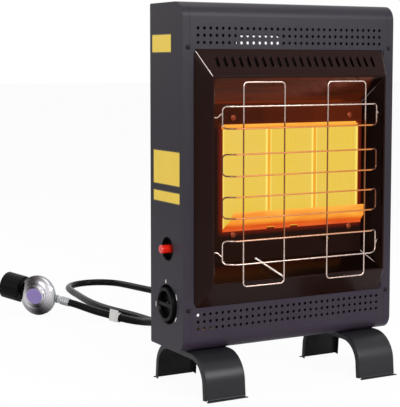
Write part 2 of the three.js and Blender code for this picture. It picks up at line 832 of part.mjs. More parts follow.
// A bent strip over the plaques' top edge and a wider slanted rail before their bottom edge.
function addFlameStrips() {
  const left = plaqueFirstX - lipOverhang;
  const right = plaqueLastX + lipOverhang;
  const face = plateFront - gap;
  const lip = new THREE.Shape([
    new THREE.Vector2(face, plaqueTop + lipHeight), new THREE.Vector2(face, plaqueTop),
    new THREE.Vector2(face - lipReach, plaqueTop + lipHeight / 2),
    new THREE.Vector2(face - lipReach, plaqueTop + lipHeight / 2 + sheet),
    new THREE.Vector2(face - sheet, plaqueTop + sheet + sheet / 2),
    new THREE.Vector2(face - sheet, plaqueTop + lipHeight),
  ]);
  addPiece('upper_flame_lip', alongX(lip, left, right), glowingSteel);

  const crease = (railTop + railBottom) / 2;
  const profile = new THREE.Shape([
    new THREE.Vector2(face, railBottom - railFlange), new THREE.Vector2(face, railBottom),
    new THREE.Vector2(face - railReach + sheet, crease),
    new THREE.Vector2(face - railReach + sheet, railTop),
    new THREE.Vector2(face - railReach, railTop), new THREE.Vector2(face - railReach, crease),
    new THREE.Vector2(face - sheet, railBottom),
    new THREE.Vector2(face - sheet, railBottom - railFlange),
  ]);
  const slant = new THREE.Shape([
    new THREE.Vector2(railLeft, railBottom), new THREE.Vector2(railLeft + railSlant, railTop),
    new THREE.Vector2(railLeft + railSlant, railTop + overrun),
    new THREE.Vector2(railLeft - overrun, railTop + overrun),
    new THREE.Vector2(railLeft - overrun, railBottom),
  ]);
  const corner = alongY(slant, face - railReach - overrun, face + overrun);
  const span = railRight - railLeft;
  const notches = railNotchShares.map((share) => box(railLeft + share * span - railNotchWidth / 2,
    railLeft + share * span + railNotchWidth / 2, face - railReach, face + overrun,
    railBottom - railFlange - overrun, railBottom));
  addPiece('lower_flame_rail', cut(alongX(profile, railLeft, railRight), corner, ...notches),
    glowingSteel);
}

// Angle brackets that carry the burner plate on the side panels.
function burnerBracket() {
  const reach = throatLeft - plateOverlap + bracketLap;
  const arm = box(sheet + gap, reach, plateBack + gap, plateBack + gap + sheet, bracketBottom,
    bracketTop);
  const foot = box(sheet + gap, 2 * sheet + gap, plateBack + gap, plateBack + gap + bracketFoot,
    bracketBottom, bracketTop);
  return join(arm, foot);
}

function addBrackets() {
  const bracket = burnerBracket();
  addPiece('left_burner_bracket', bracket, darkSteel);
  addPiece('right_burner_bracket', bracket.mirror([1, 0, 0]).translate([caseWidth, 0, 0]),
    darkSteel);
}

// Heat shield: a plate with two flanges turned back to the back panel.
function addHeatShield() {
  const back = caseDepth - sheet - gap;
  const plate = box(shieldLeft, shieldRight, shieldFront, shieldFront + sheet, shieldBottom,
    shieldTop);
  const flanges = [shieldLeft, shieldRight - sheet].map((x) => box(x, x + sheet, shieldFront,
    back, shieldBottom, shieldTop));
  addPiece('heat_shield', join(plate, ...flanges), zincPlate);
}

// Depth of the guard's cross wires: a flat middle and ends bent back toward the reflector.
function crossWireDepth(x) {
  const slope = (guardDepth - guardEndDepth) / (guardBendLeft - guardLeft);
  const past = Math.max(guardBendLeft - x, x - guardBendRight, 0);
  return -guardDepth + slope * Math.min(past, guardBendLeft - guardLeft);
}

function crossLoopHeights() {
  return crossLoopShares.map((shares) => shares
    .map((share) => ridgeBottom + share * (ridgeTop - ridgeBottom)));
}

function crossLoop([low, high]) {
  const outline = roundedRectangle(guardLeft, guardRight, low, high, guardCornerRadius,
    guardCornerSteps);
  const half = outline.length / 2;
  outline.splice(half, 0, [guardBendRight, high], [guardBendLeft, high]);
  outline.push([guardBendLeft, low], [guardBendRight, low]);
  return wireLoop(outline.map(([x, z]) => new THREE.Vector3(x, crossWireDepth(x), z)));
}

function uprightLoop(shares) {
  const [left, right] = shares.map((share) => guardLeft + share * (guardRight - guardLeft));
  const depth = -guardDepth + 2 * wireRadius * Math.cos(Math.PI / wireSides) - wireWeld;
  const outline = roundedRectangle(left, right, uprightBottom, uprightTop, guardCornerRadius,
    guardCornerSteps);
  return wireLoop(outline.map(([x, z]) => new THREE.Vector3(x, depth, z)));
}

function addGuard() {
  const loops = [...crossLoopHeights().map(crossLoop), ...uprightLoopShares.map(uprightLoop)];
  addPiece('wire_guard', join(...loops, ...hooks(wireRadius, hookLength, wireSides)), chrome);
}

// Control knob: a dished disc with a raised rim and a straight grip across the dish.
function addKnob() {
  const place = new THREE.Vector3(0, knobY, knobZ);
  const disc = turned([
    [0, knobBack], [knobRadius - knobEdge, knobBack], [knobRadius, knobBack - knobEdge],
    [knobRadius - knobTaper, -knobFace + knobEdge], [knobRadius - 2 * knobTaper, -knobFace],
    [knobDishRadius + knobEdge, -knobFace],
    [knobDishRadius - 2 * knobEdge, -knobFace + knobDishDepth],
    [0, -knobFace + knobDishDepth],
  ], X, place, 24);
  const grip = box(-knobFace + knobEdge, knobBack / 2, knobY - knobDishRadius, knobY + knobDishRadius,
    knobZ - knobGripHeight / 2, knobZ + knobGripHeight / 2);
  const bore = hole(stemRadius, 0, knobBack + overrun, X, place);
  addPiece('control_knob', cut(join(disc, grip), bore), blackPlastic);

  addPiece('valve_stem', rod(stemRadius, gap, stemEnd, X, place, 16), zincPlate);

  const outer = [[wellBore, wellDepth], [wellRadius, wellDepth], [wellRadius, 0]];
  const inner = [[wellRadius - sheet, 0], [wellRadius - sheet, wellDepth - sheet],
    [wellBore, wellDepth - sheet], [wellBore, wellDepth]];
  addPiece('knob_well', turned([...outer, ...inner], X, place, 24), blackPlastic);
}

// Gas valve: a block with a front boss, a turning plug in its bore and the stem in the plug.
function addValve() {
  const place = new THREE.Vector3(0, knobY, knobZ);
  const half = valveSize / 2;
  const block = box(valveFront, valveBack, knobY - half, knobY + half, knobZ - half,
    knobZ + half);
  const boss = rod(valveBossRadius, wellDepth + gap, valveFront + sheet, X, place);
  const stemBore = rod(stemRadius + gap, wellDepth - overrun, plugFront + overrun, X, place, 16);
  const plugBore = rod(plugRadius + running, plugFront - gap, plugBack + gap, X, place, 32);
  const tailBore = rod(stemRadius, plugBack, valveBack + overrun, X, place, 16);
  addPiece('gas_valve_body', cut(join(block, boss), stemBore, plugBore, tailBore), brass);

  const plug = cut(rod(plugRadius, plugFront, plugBack, X, place, 32),
    rod(stemRadius + running, plugFront - overrun, plugBack + overrun, X, place, 16));
  addPiece('valve_plug', plug, brass);
}

// Igniter: cup in the side panel, button and the piezo barrel behind it.
function addIgniter() {
  const place = new THREE.Vector3(0, buttonY, buttonZ);
  const neck = buttonRadius + 2 * gap;
  addPiece('igniter_cup', turned([
    [neck, cupDepth], [cupRadius, cupDepth], [cupRadius, -gap], [cupRadius - sheet, -gap],
    [cupRadius - sheet, cupDepth - sheet], [neck, cupDepth - sheet], [neck, cupDepth],
  ], X, place, 24), blackPlastic);
  addPiece('igniter_button', turned([
    [0, -buttonFace], [buttonRadius - buttonEdge, -buttonFace],
    [buttonRadius, -buttonFace + buttonEdge],
    [buttonRadius, buttonLength - buttonFace], [0, buttonLength - buttonFace],
  ], X, place, 20), redPlastic);

  const start = cupDepth + gap;
  const end = start + piezoLength;
  const boreEnd = buttonLength - buttonFace + buttonPush + springSpace;
  addPiece('piezo_igniter', turned([
    [piezoBore, start], [piezoRadius + piezoFlange, start],
    [piezoRadius + piezoFlange, start + piezoFlange], [piezoRadius, start + piezoFlange],
    [piezoRadius, end - 2 * piezoTaper], [piezoRadius / 2, end - piezoTaper],
    [piezoRadius / 2, end], [0, end], [0, boreEnd], [piezoBore, boreEnd], [piezoBore, start],
  ], X, place, 20), blackPlastic);
}

function electrodeHole() {
  return hole(electrodeRadius, plateFront - overrun, plateBack + overrun, Y,
    new THREE.Vector3(electrodeX, 0, electrodeZ));
}

function probeHole() {
  return hole(probeRadius, plateFront - overrun, plateBack + overrun, Y,
    new THREE.Vector3(probeX, 0, probeZ));
}

function addElectrode() {
  const root = new THREE.Vector3(electrodeX, plateFront - electrodeBall - gap, electrodeZ);
  const tip = new THREE.Vector3(electrodeX + electrodeReach, -electrodeTipDepth,
    electrodeZ - electrodeDrop);
  const reach = tip.clone().sub(root);
  const wire = rod(electrodeRadius, 0, reach.length(), reach.clone().normalize(), root, 6);
  const balls = [root, tip].map((centre) => {
    const ball = new THREE.SphereGeometry(electrodeBall, 6, 4);
    ball.translate(centre.x, centre.y, centre.z);
    return solid(ball);
  });
  const line = new THREE.Vector3(electrodeX, 0, electrodeZ);
  const shank = rod(electrodeRadius, root.y, insulatorFront + gap, Y, line, screwSides);
  const insulator = rod(insulatorRadius, insulatorFront, insulatorFront + insulatorLength,
    Y, line, screwSides);
  addPiece('spark_electrode', join(wire, ...balls, shank, insulator), chrome);

  const probeTip = plateFront - probeTipShare * probeLength;
  addPiece('thermocouple_probe', rod(probeRadius, probeTip, probeTip + probeLength, Y,
    new THREE.Vector3(probeX, 0, probeZ), screwSides), brass);
}

// Leads from the igniter to the electrode and from the probe to the valve.
function addLeads() {
  const piezoEnd = cupDepth + gap + piezoLength + gap;
  const electrodeEnd = insulatorFront + insulatorLength + gap;
  addPiece('ignition_lead', tube([
    [piezoEnd, buttonY, buttonZ], [piezoEnd + leadStub, buttonY, buttonZ],
    [piezoEnd + leadSweep, buttonY + leadClearance / 2, buttonZ - leadDip],
    [electrodeX - leadSweep, buttonY + leadClearance, electrodeZ],
    [electrodeX - leadStub / 2, electrodeEnd + leadClearance, electrodeZ],
    [electrodeX, electrodeEnd + leadStub, electrodeZ], [electrodeX, electrodeEnd, electrodeZ],
  ], leadRadius, leadSides, 16), blackRubber);

  const probeEnd = plateFront + (1 - probeTipShare) * probeLength + gap;
  const behind = probeEnd + leadSweep;
  const [portY0, portZ0] = [knobY + leadStub, knobZ + leadStub];
  addPiece('thermocouple_lead', tube([
    [probeX, probeEnd, probeZ], [probeX, probeEnd + leadStub, probeZ],
    [probeX - leadSweep, behind, probeZ - leadSweep],
    [(probeX + venturiX) / 2, behind, (probeZ + portZ0) / 2 - leadSweep],
    [venturiX + 2 * leadSweep, behind, portZ0 - leadStub],
    [valveBack + leadSweep, portY0, portZ0], [valveBack + leadStub, portY0, portZ0],
    [valveBack + gap, portY0, portZ0],
  ], leadRadius, leadSides, 22), brass);
}

// Pipes from the inlet to the valve and from the valve to the injector.
function addPipes() {
  const outletY = knobY - 2 * pipeRadius;
  const outletZ = knobZ - pipeDip / 2;
  addPiece('burner_pipe', tube([
    [valveBack + gap, outletY, outletZ], [valveBack + pipeStub, outletY, outletZ],
    [venturiX - pipeBend, venturiY, outletZ], [venturiX - pipeRadius / 2, venturiY, knobZ + pipeStub],
    [venturiX, venturiY, injectorBottom - pipeStub], [venturiX, venturiY, injectorBottom - gap],
  ], pipeRadius, leadSides, 12), brass);

  const inside = caseDepth - sheet - connectorLength;
  addPiece('inlet_pipe', tube([
    [inletX, inside - gap, inletZ], [inletX, inside - pipeStub, inletZ],
    [inletX - pipeBend, knobY + pipeRadius, inletZ - pipeDip],
    [valvePortX + pipeBend, knobY, inletZ - pipeDip - pipeRadius],
    [valvePortX + pipeRadius / 2, knobY, inletZ - pipeStub],
    [valvePortX, knobY, valveBottom - pipeStub], [valvePortX, knobY, valveBottom - gap],
  ], pipeRadius, leadSides, 16), brass);
}

// Injector under the venturi, and the venturi with its bell mouth into the burner housing.
function addVenturi() {
  const place = new THREE.Vector3(venturiX, venturiY, 0);
  const injectorEnd = venturiBottom - sheet;
  addPiece('gas_injector', turned([
    [0, injectorBottom], [injectorRadius, injectorBottom],
    [injectorRadius, injectorEnd - injectorTaper], [injectorRadius / 2, injectorEnd],
    [0, injectorEnd],
  ], Z, place, 12), brass);

  const top = plaqueBottom + 2 * sheet;
  const wall = (inset) => [
    [venturiMouthRadius - inset, venturiBottom],
    [venturiNeckRadius - inset, venturiBottom + venturiNeckStart],
    [venturiNeckRadius - inset, venturiBottom + venturiNeckEnd],
    [venturiRadius - inset, top - venturiFlare], [venturiRadius - inset, top],
  ];
  const shell = turned([...wall(0), ...wall(sheet).reverse(), wall(0)[0]], Z, place,
    venturiSides);
  const bar = box(venturiX - standHalfWidth, venturiX + standHalfWidth,
    venturiY + injectorRadius - standHalfWidth / 2, venturiY + standReach, injectorBottom,
    venturiBottom + injectorTaper);
  const clearance = rod(injectorRadius + gap, injectorBottom - overrun, venturiBottom + overrun,
    Z, place, 12);
  addPiece('venturi_tube', join(shell, cut(bar, clearance)), zincPlate);
}

// Foot outline in (Y, Z): a rounded arch with lips turned outward on the floor.
function footOutline(inset, lips) {
  const middle = caseDepth / 2 - footForward;
  const top = -gap - inset;
  const radius = footShoulderRadius - inset;
  const centreZ = -gap - footShoulderRadius;
  const shoulder = footHalfDepth - footSplay - footShoulderRadius;
  const leg = footHalfDepth - inset;
  const lipTop = floorZ + footSheet;
  const tip = footHalfDepth + footLip;
  const shape = new THREE.Shape();
  if (lips) {
    shape.moveTo(middle - leg, floorZ);
    shape.lineTo(middle - tip, floorZ);
    shape.lineTo(middle - tip, lipTop);
    shape.lineTo(middle - leg, lipTop);
  } else {
    shape.moveTo(middle - leg, inset ? floorZ - overrun : lipTop);
  }
  shape.lineTo(middle - shoulder - radius, centreZ);
  shape.absarc(middle - shoulder, centreZ, radius, Math.PI, Math.PI / 2, true);
  shape.lineTo(middle + shoulder, top);
  shape.absarc(middle + shoulder, centreZ, radius, Math.PI / 2, 0, true);
  if (lips) {
    shape.lineTo(middle + leg, lipTop);
    shape.lineTo(middle + tip, lipTop);
    shape.lineTo(middle + tip, floorZ);
    shape.lineTo(middle + leg, floorZ);
  } else {
    shape.lineTo(middle + leg, inset ? floorZ - overrun : lipTop);
  }
  return shape;
}

function foot(left) {
  const right = left + footWidth;
  const web = cut(alongX(footOutline(0, true), left, right, footSegments),
    alongX(footOutline(footSheet, false), left - overrun, right + overrun, footSegments));
  const edges = [left, right - footSheet].map((x) => cut(
    alongX(footOutline(0, false), x, x + footSheet, footSegments),
    alongX(footOutline(footEdgeWidth, false), x - overrun, x + overrun, footSegments)));
  const holes = footBoltPlaces().map((place) => rod(screwShankRadius + gap, -overrun, overrun,
    Z, place, screwSides));
  return cut(join(web, ...edges), ...holes);
}

function addFeet() {
  addPiece('left_foot', foot(leftFootX), blackPaint);
  addPiece('right_foot', foot(caseWidth - leftFootX - footWidth), blackPaint);
}

// Inlet connector through the back panel and the rubber strain relief behind it.
function addInlet() {
  const place = new THREE.Vector3(inletX, caseDepth, inletZ);
  const shoulder = connectorRadius + connectorShoulder;
  addPiece('inlet_connector', turned([
    [0, -sheet - connectorLength], [connectorRadius, -sheet - connectorLength],
    [connectorRadius, -sheet - connectorLength / 2], [shoulder, -sheet - connectorLength / 2],
    [shoulder, -sheet - gap], [connectorRadius, -sheet - gap], [connectorRadius, gap], [0, gap],
  ], Y, place, 12), brass);
  addPiece('hose_strain_relief', turned([
    [0, 2 * gap], [reliefRadius, 2 * gap], [reliefRadius, reliefLength / 3],
    [hoseRadius + reliefLip, reliefLength], [hoseRadius + gap, reliefLength],
    [hoseRadius + gap, reliefBoreDepth], [0, reliefBoreDepth],
  ], Y, place, 16), blackRubber);
}

// Hose route in (X, Y, height over the floor): from the back panel down to the floor, out to a
// loop, back over itself in a low hump and on to the regulator.
const hoseLow = hoseRadius + gap;
const hoseRoute = [
  [118, 129.3, 115], [118, 160, 115], [118, 190, 112], [118, 222, 101], [118.5, 252, 83],
  [120, 282, 59], [124, 314, 35], [132, 347, 17], [147, 378, 9.3], [171, 408, hoseLow],
  [197, 444, hoseLow], [212, 487, hoseLow], [217, 530, hoseLow], [214, 572, hoseLow],
  [209, 614, hoseLow], [201, 656, hoseLow], [192, 698, hoseLow], [186, 745, hoseLow],
  [185, 795, hoseLow], [189, 850, hoseLow], [196, 905, hoseLow], [203, 958, hoseLow],
  [215.5, 1003.5, hoseLow], [242, 1031.5, hoseLow], [278.5, 1042, hoseLow],
  [315, 1032, hoseLow], [342, 1004.5, hoseLow], [355.5, 966, hoseLow], [366, 920, hoseLow],
  [378, 870, hoseLow], [390, 805, hoseLow], [404, 730, hoseLow], [414, 650, hoseLow],
  [418, 572, hoseLow], [415, 502, hoseLow], [404, 442, hoseLow], [382, 391, hoseLow],
  [350, 351, hoseLow], [308, 331, hoseLow], [263, 335, 10], [228, 362, 16], [208, 403, 24],
  [201, 444, 27.5], [199, 480, 23], [198, 512, 14.5], [193, 543, 10], [180, 573, 9],
  [163, 602, 11.5], [145, 630, 16], [128, 655, 20.5],
];

const regulatorTurn = new THREE.Euler(0, regulatorTilt, regulatorHeading, 'ZYX');

function hosePoints() {
  const heading = X.clone().applyEuler(regulatorTurn);
  const aside = Y.clone().applyEuler(regulatorTurn);
  const centre = new THREE.Vector3(regulatorX, regulatorY, regulatorRadius + gap);
  const reach = portReach + fittingLength + ferruleLength + 3 * gap;
  const end = centre.addScaledVector(heading, reach).addScaledVector(aside, portY);
  const before = end.clone().addScaledVector(heading, 2 * hoseRadius);
  return [...hoseRoute, before.toArray(), end.toArray()]
    .map(([x, y, height]) => [x, y, height + floorZ]);
}

function addHose() {
  const points = hosePoints();
  addPiece('gas_hose', tube(points, hoseRadius, hoseSides, hoseSteps), blackRubber);

  const curve = new THREE.CatmullRomCurve3(points.map((point) => new THREE.Vector3(...point)));
  const station = 1 - tagFromEnd / curve.getLength();
  const along = curve.getTangentAt(station);
  const across = Z.clone().cross(along).normalize();
  const tag = new THREE.Group();
  tag.position.copy(curve.getPointAt(station));
  tag.quaternion.setFromRotationMatrix(new THREE.Matrix4()
    .makeBasis(along, across, along.clone().cross(across)));
  assembly.add(tag);
  const inner = (hoseRadius + 2 * gap) / Math.cos(Math.PI / hoseSides);
  const middle = new THREE.Vector3();
  const band = ringRod(inner, inner + tagThickness, -tagLength / 2, tagLength / 2, X, middle, 16);
  const card = box(-tagLength / 2, tagLength / 2, inner, inner + tagThickness, -tagDrop,
    tagHeight - tagDrop);
  addPiece('hose_tag', join(band, card), whiteFilm, tag);
}

// Outline of a regulator half from pairs of shares of its radius and its depth.
function halfOutline(shares, depth) {
  return shares.map(([radiusShare, depthShare]) => [regulatorRadius * radiusShare,
    depth * depthShare]);
}

// Regulator standing on its rim: X runs toward the hose and -Y faces the viewer.
function addRegulator() {
  const regulator = new THREE.Group();
  regulator.position.set(regulatorX, regulatorY, floorZ + regulatorRadius + gap);
  regulator.setRotationFromEuler(regulatorTurn);
  assembly.add(regulator);
  const middle = new THREE.Vector3();
  const line = new THREE.Vector3(0, portY, 0);
  const rim = regulatorRim;
  const housing = turned([
    [0, regulatorBack], ...halfOutline(regulatorBackShares, regulatorBack),
    [regulatorRadius, rim], [regulatorRadius, -rim], [0, -rim],
  ], Y, middle, regulatorSides);
  const root = regulatorRadius * portRootShare;
  const outlet = rod(portRadius, root, portReach, X, line, 12);
  const inlet = rod(inletPortRadius, -portReach, -root, X, line, 12);
  addPiece('regulator_body', join(housing, outlet, inlet), zincPlate, regulator);
  addPiece('regulator_cover', turned([
    [0, -rim - gap], [regulatorRadius, -rim - gap],
    ...halfOutline(regulatorFrontShares, -regulatorFront), [0, -regulatorFront],
  ], Y, middle, regulatorSides), chrome, regulator);

  const fittingStart = portReach + gap;
  const ferruleStart = fittingStart + fittingLength + gap;
  const ferruleEnd = ferruleStart + ferruleLength;
  addPiece('hose_fitting', rod(fittingRadius, fittingStart, fittingStart + fittingLength, X,
    line, 6), zincPlate, regulator);
  addPiece('hose_ferrule', turned([
    [0, ferruleStart], [ferruleRadius, ferruleStart],
    [ferruleRadius, ferruleStart + ferruleLength / 4],
    [ferruleRadius - ferruleGroove, ferruleStart + ferruleLength / 2],
    [ferruleRadius, ferruleEnd - ferruleLength / 4], [ferruleRadius, ferruleEnd],
    [0, ferruleEnd],
  ], X, line, 16), zincPlate, regulator);
  addNozzleAndNut(regulator, line);
}

// Inlet nozzle and the ribbed nut that spins on it.
function addNozzleAndNut(regulator, line) {
  const nutEnd = nutStart + nutLength;
  addPiece('inlet_nozzle', turned([
    [0, -portReach - gap], [nozzleRadius, -portReach - gap],
    [nozzleRadius, -nutEnd + 3 * nozzleTaper], [nozzleTipRadius, -nutEnd + 2 * nozzleTaper],
    [nozzleTipRadius, -nutEnd - nozzleTaper], [0, -nutEnd - 2 * nozzleTaper],
  ], X, line, 16), brass, regulator);

  const outline = Array.from({ length: 2 * nutRibs }, (_, i) => {
    const angle = Math.PI * (i + 0.5) / nutRibs;
    const radius = nutRadius - nutRibDepth * (i % 2);
    return new THREE.Vector2(radius * Math.cos(angle), radius * Math.sin(angle));
  });
  const blank = alongX(new THREE.Shape(outline), -nutEnd, -nutStart).translate(line.toArray());
  const bore = rod(nozzleRadius + nutRunning, -nutEnd - overrun, -nutStart + overrun, X, line, 16);
  const mouth = rod(nutRadius * nutMouthShare, -nutEnd - overrun, -nutEnd + nutLength / 2, X,
    line, 16);
  addPiece('hand_nut', cut(blank, bore, mouth), blackPlastic, regulator);
}

addSidePanels();
addWrapPanels();
addBackPanel();
addScrews();
addBezel();
addReflector();
addBurner();
addFlameStrips();
addBrackets();
addHeatShield();
addGuard();
addKnob();
addValve();
addIgniter();
addElectrode();
addLeads();
addPipes();
addVenturi();
addFeet();
addInlet();
addHose();
addRegulator();

const heater = new THREE.Group();
heater.add(assembly);
export default heater;
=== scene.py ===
# %% [markdown]
# # Cabinet patio heater for bottled gas
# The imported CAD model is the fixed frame. It is loaded first, and every piece that is made here
# is placed in metres in that same frame, so nothing has to be fitted by eye.

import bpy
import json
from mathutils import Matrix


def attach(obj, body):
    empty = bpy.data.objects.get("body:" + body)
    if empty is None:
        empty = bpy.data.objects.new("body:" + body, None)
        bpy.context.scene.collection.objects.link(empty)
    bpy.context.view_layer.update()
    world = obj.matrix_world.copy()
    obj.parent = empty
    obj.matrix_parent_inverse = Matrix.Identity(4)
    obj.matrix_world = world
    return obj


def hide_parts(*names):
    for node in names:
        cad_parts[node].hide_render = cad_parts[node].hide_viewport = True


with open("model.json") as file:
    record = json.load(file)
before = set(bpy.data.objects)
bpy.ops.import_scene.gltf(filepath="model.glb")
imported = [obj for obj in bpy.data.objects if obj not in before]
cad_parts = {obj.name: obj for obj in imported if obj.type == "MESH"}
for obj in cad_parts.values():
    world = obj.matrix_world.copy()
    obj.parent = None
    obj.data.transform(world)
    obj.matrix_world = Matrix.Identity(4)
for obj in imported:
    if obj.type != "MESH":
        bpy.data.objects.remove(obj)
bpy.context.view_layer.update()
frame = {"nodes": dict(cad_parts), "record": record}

# %% Names that every step uses
from contextlib import contextmanager
import json
import math

import bpy
import bmesh
from mathutils import Euler, Matrix, Vector

nodes = frame["nodes"]
record = frame["record"]
scene = bpy.context.scene
SLOT_OF_NODE = {row["node"]: row["material_slot"] for row in record["subparts"]}
BODY_OF_NODE = {node: body for body, members in record["behaviour"]["bodies"].items()
                for node in members}

# %% [markdown]
# ## Where things are
# The heater was measured from its case: across from the left edge, back from the front plane and
# up from the case's bottom. One function turns such a place, in millimetres, into the frame.

# %% Places on the case
CASE_WIDTH = 432.0
FOOT_HEIGHT = 74.0
CENTRE_ACROSS = 209.0
CENTRE_BACK = 50.5
MM = 0.001
QUARTER = math.pi / 2


def place(across, back, up):
    """A place on the case in millimetres, as a point of the frame in metres."""
    return Vector((across - CENTRE_ACROSS, back - CENTRE_BACK, up + FOOT_HEIGHT)) * MM


print("case corner", place(0, 0, 0))

# %% [markdown]
# ## Camera
# The photograph was taken from the front left with a long lens. A camera could be turned by hand
# until its picture fits, but here its place and lens were worked out from the corners, screws and
# perforations of the case, because then every edge falls where the photograph has it. Its shift is
# only the part of the framing that the lens's centre doesn't give.

# %% Camera
IMAGE_HEIGHT = 407.0
FOCAL_PIXELS = 1230.8
LENS_CENTRE_DOWN = 170.9
CAMERA_PLACE = (-956.6, -1792.1, 487.9)
CAMERA_TURN = math.radians(-28.9)
CAMERA_TILT = math.radians(85.0)
SENSOR = 36.0
FARTHEST_SEEN = 50

lens = bpy.data.cameras.new("camera")
lens.sensor_fit = "VERTICAL"
lens.sensor_height = SENSOR
lens.lens = SENSOR * FOCAL_PIXELS / IMAGE_HEIGHT
lens.shift_y = (LENS_CENTRE_DOWN - IMAGE_HEIGHT / 2) / IMAGE_HEIGHT
lens.clip_end = FARTHEST_SEEN
camera = bpy.data.objects.new("camera", lens)
camera.location = place(*CAMERA_PLACE)
camera.rotation_euler = (CAMERA_TILT, 0, CAMERA_TURN)
scene.collection.objects.link(camera)
scene.camera = camera
print("lens", round(lens.lens, 1), "mm, shift", round(lens.shift_y, 3))

# %% [markdown]
# ## The gas hose
# A rubber gas hose is stiff: it leaves the back straight, sinks to the floor in a wide curve and
# lies there in one big loop. It crosses over itself once in a long low hump, where its own
# thickness holds it up. A simulation could drop it there, but nobody could say beforehand where it
# would come to rest. A smooth curve through given points has just that look and a length
# that is known, and a round bevel on the curve gives the hose its thickness.

# %% Where the regulator stands at the hose's far end
REGULATOR_RADIUS = 44.8
REGULATOR = place(42, 766, REGULATOR_RADIUS - FOOT_HEIGHT)
REGULATOR_TURN = Euler((0, 0.1658, -0.95)).to_matrix()
PORT_BACK = 10.0
HOSE_END = 76.9


def on_regulator(along, back, up=0.0):
    """A place on the regulator in millimetres: along toward the hose, back and up."""
    return REGULATOR + REGULATOR_TURN @ Vector((along, back, up)) * MM


print("hose ends at", on_regulator(HOSE_END, PORT_BACK))

# %% The hose's route, across, back and up from the floor in millimetres
HOSE_RADIUS = 8.0
STEPS_BETWEEN = 6
DOWN = 8.3
HOSE_ROUTE = [
    (118, 129.3, 115), (118, 160, 115), (118, 190, 112), (118, 222, 101), (118.5, 252, 83),
    (120, 282, 59), (124, 314, 35), (132, 347, 17), (147, 378, 9.3), (171, 408, DOWN),
    (197, 444, DOWN), (212, 487, DOWN), (217, 530, DOWN), (214, 572, DOWN),
    (209, 614, DOWN), (201, 656, DOWN), (192, 698, DOWN), (186, 745, DOWN),
    (185, 795, DOWN), (189, 850, DOWN), (196, 905, DOWN), (203, 958, DOWN),
    (215.5, 1003.5, DOWN), (242, 1031.5, DOWN), (278.5, 1042, DOWN),
    (315, 1032, DOWN), (342, 1004.5, DOWN), (355.5, 966, DOWN), (366, 920, DOWN),
    (378, 870, DOWN), (390, 805, DOWN), (404, 730, DOWN), (414, 650, DOWN),
    (418, 572, DOWN), (415, 502, DOWN), (404, 442, DOWN), (382, 391, DOWN),
    (350, 351, DOWN), (308, 331, DOWN), (263, 335, 10), (228, 362, 16), (208, 403, 24),
    (201, 444, 27.5), (199, 480, 23), (198, 512, 14.5), (193, 543, 10), (180, 573, 9),
    (163, 602, 11.5), (145, 630, 16), (128, 655, 20.5),
]


def between(first, last, start, end, at):
    """The point at a time between two points that have their own times."""
    return first.lerp(last, (at - start) / (end - start))


def smooth_line(points):
    """Points of the smooth curve that passes through all the given points."""
    ends = [2 * points[0] - points[1]] + list(points) + [2 * points[-1] - points[-2]]
    line = []
    for i in range(1, len(ends) - 2):
        a, b, c, d = ends[i - 1:i + 3]
        first = math.sqrt((b - a).length)
        second = first + math.sqrt((c - b).length)
        last = second + math.sqrt((d - c).length)
        for step in range(STEPS_BETWEEN):
            at = first + (second - first) * step / STEPS_BETWEEN
            ab = between(a, b, 0, first, at)
            bc = between(b, c, first, second, at)
            cd = between(c, d, second, last, at)
            line.append(between(between(ab, bc, 0, second, at), between(bc, cd, first, last, at),
                                first, second, at))
    return line + [points[-1]]


hose_points = [place(x, y, up - FOOT_HEIGHT) for x, y, up in HOSE_ROUTE]
hose_points += [on_regulator(HOSE_END + 2 * HOSE_RADIUS, PORT_BACK),
                on_regulator(HOSE_END, PORT_BACK)]
hose_line = smooth_line(hose_points)
hose_length = sum((b - a).length for a, b in zip(hose_line, hose_line[1:]))
print("hose", round(hose_length, 3), "m through", len(hose_line), "points")

# %% The hose as a round curve
def wire_curve(name, line, radius, fineness, closed=False):
    """A round wire along a line, with its radius in millimetres, as one spline."""
    curve = bpy.data.curves.new(name, "CURVE")
    curve.dimensions = "3D"
    curve.bevel_depth = 1.0
    curve.bevel_resolution = fineness
    curve.use_fill_caps = not closed
    spline = curve.splines.new("POLY")
    spline.points.add(len(line) - 1)
    for point, co in zip(spline.points, line):
        point.co = (*co, 1)
        point.radius = radius * MM
    spline.use_cyclic_u = closed
    spline.use_smooth = True
    wire = bpy.data.objects.new(name, curve)
    scene.collection.objects.link(wire)
    return wire


def stands_for(piece, name):
    """The piece takes the place of a CAD node and moves with its body."""
    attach(piece, BODY_OF_NODE[name])
    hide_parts(name)
    return piece


def added(piece):
    """The piece is new, stands for no node and moves with the heater."""
    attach(piece, "heater")
    return piece


hose = stands_for(wire_curve("rubber_hose", hose_line, HOSE_RADIUS, fineness=5), "gas_hose")
print("hose radius", HOSE_RADIUS, "mm")

# %% [markdown]
# ## Two ways to make a piece
# Pressed and moulded pieces already have their right outline in the CAD, but its edges are
# knife-sharp and its curves are flat facets. A real sheet or moulding never has that. So a copy
# of the node has its loose triangles joined, its edges bevelled and its curves shaded smooth.
# Pieces with a form of their own start from a primitive instead, and grow by edit-mode operators.

# %% Operators work on what is selected, so selecting comes first
def only(piece):
    """Selects this piece alone and makes it active."""
    for thing in bpy.context.selected_objects:
        thing.select_set(False)
    piece.select_set(True)
    bpy.context.view_layer.objects.active = piece
    return piece


@contextmanager
def editing(piece):
    """Opens a piece in edit mode with everything selected, and closes it afterwards."""
    only(piece)
    bpy.ops.object.mode_set(mode="EDIT")
    bpy.ops.mesh.select_all(action="SELECT")
    yield piece
    bpy.ops.object.mode_set(mode="OBJECT")


def select_parts(piece, kind, test):
    """In edit mode, selects the faces, edges or verts for which the test is true."""
    bpy.ops.mesh.select_mode(type=kind.upper().rstrip("S"))
    bpy.ops.mesh.select_all(action="DESELECT")
    mesh = bmesh.from_edit_mesh(piece.data)
    for part in getattr(mesh, kind):
        if test(part):
            part.select_set(True)
    mesh.select_flush_mode()
    bmesh.update_edit_mesh(piece.data)


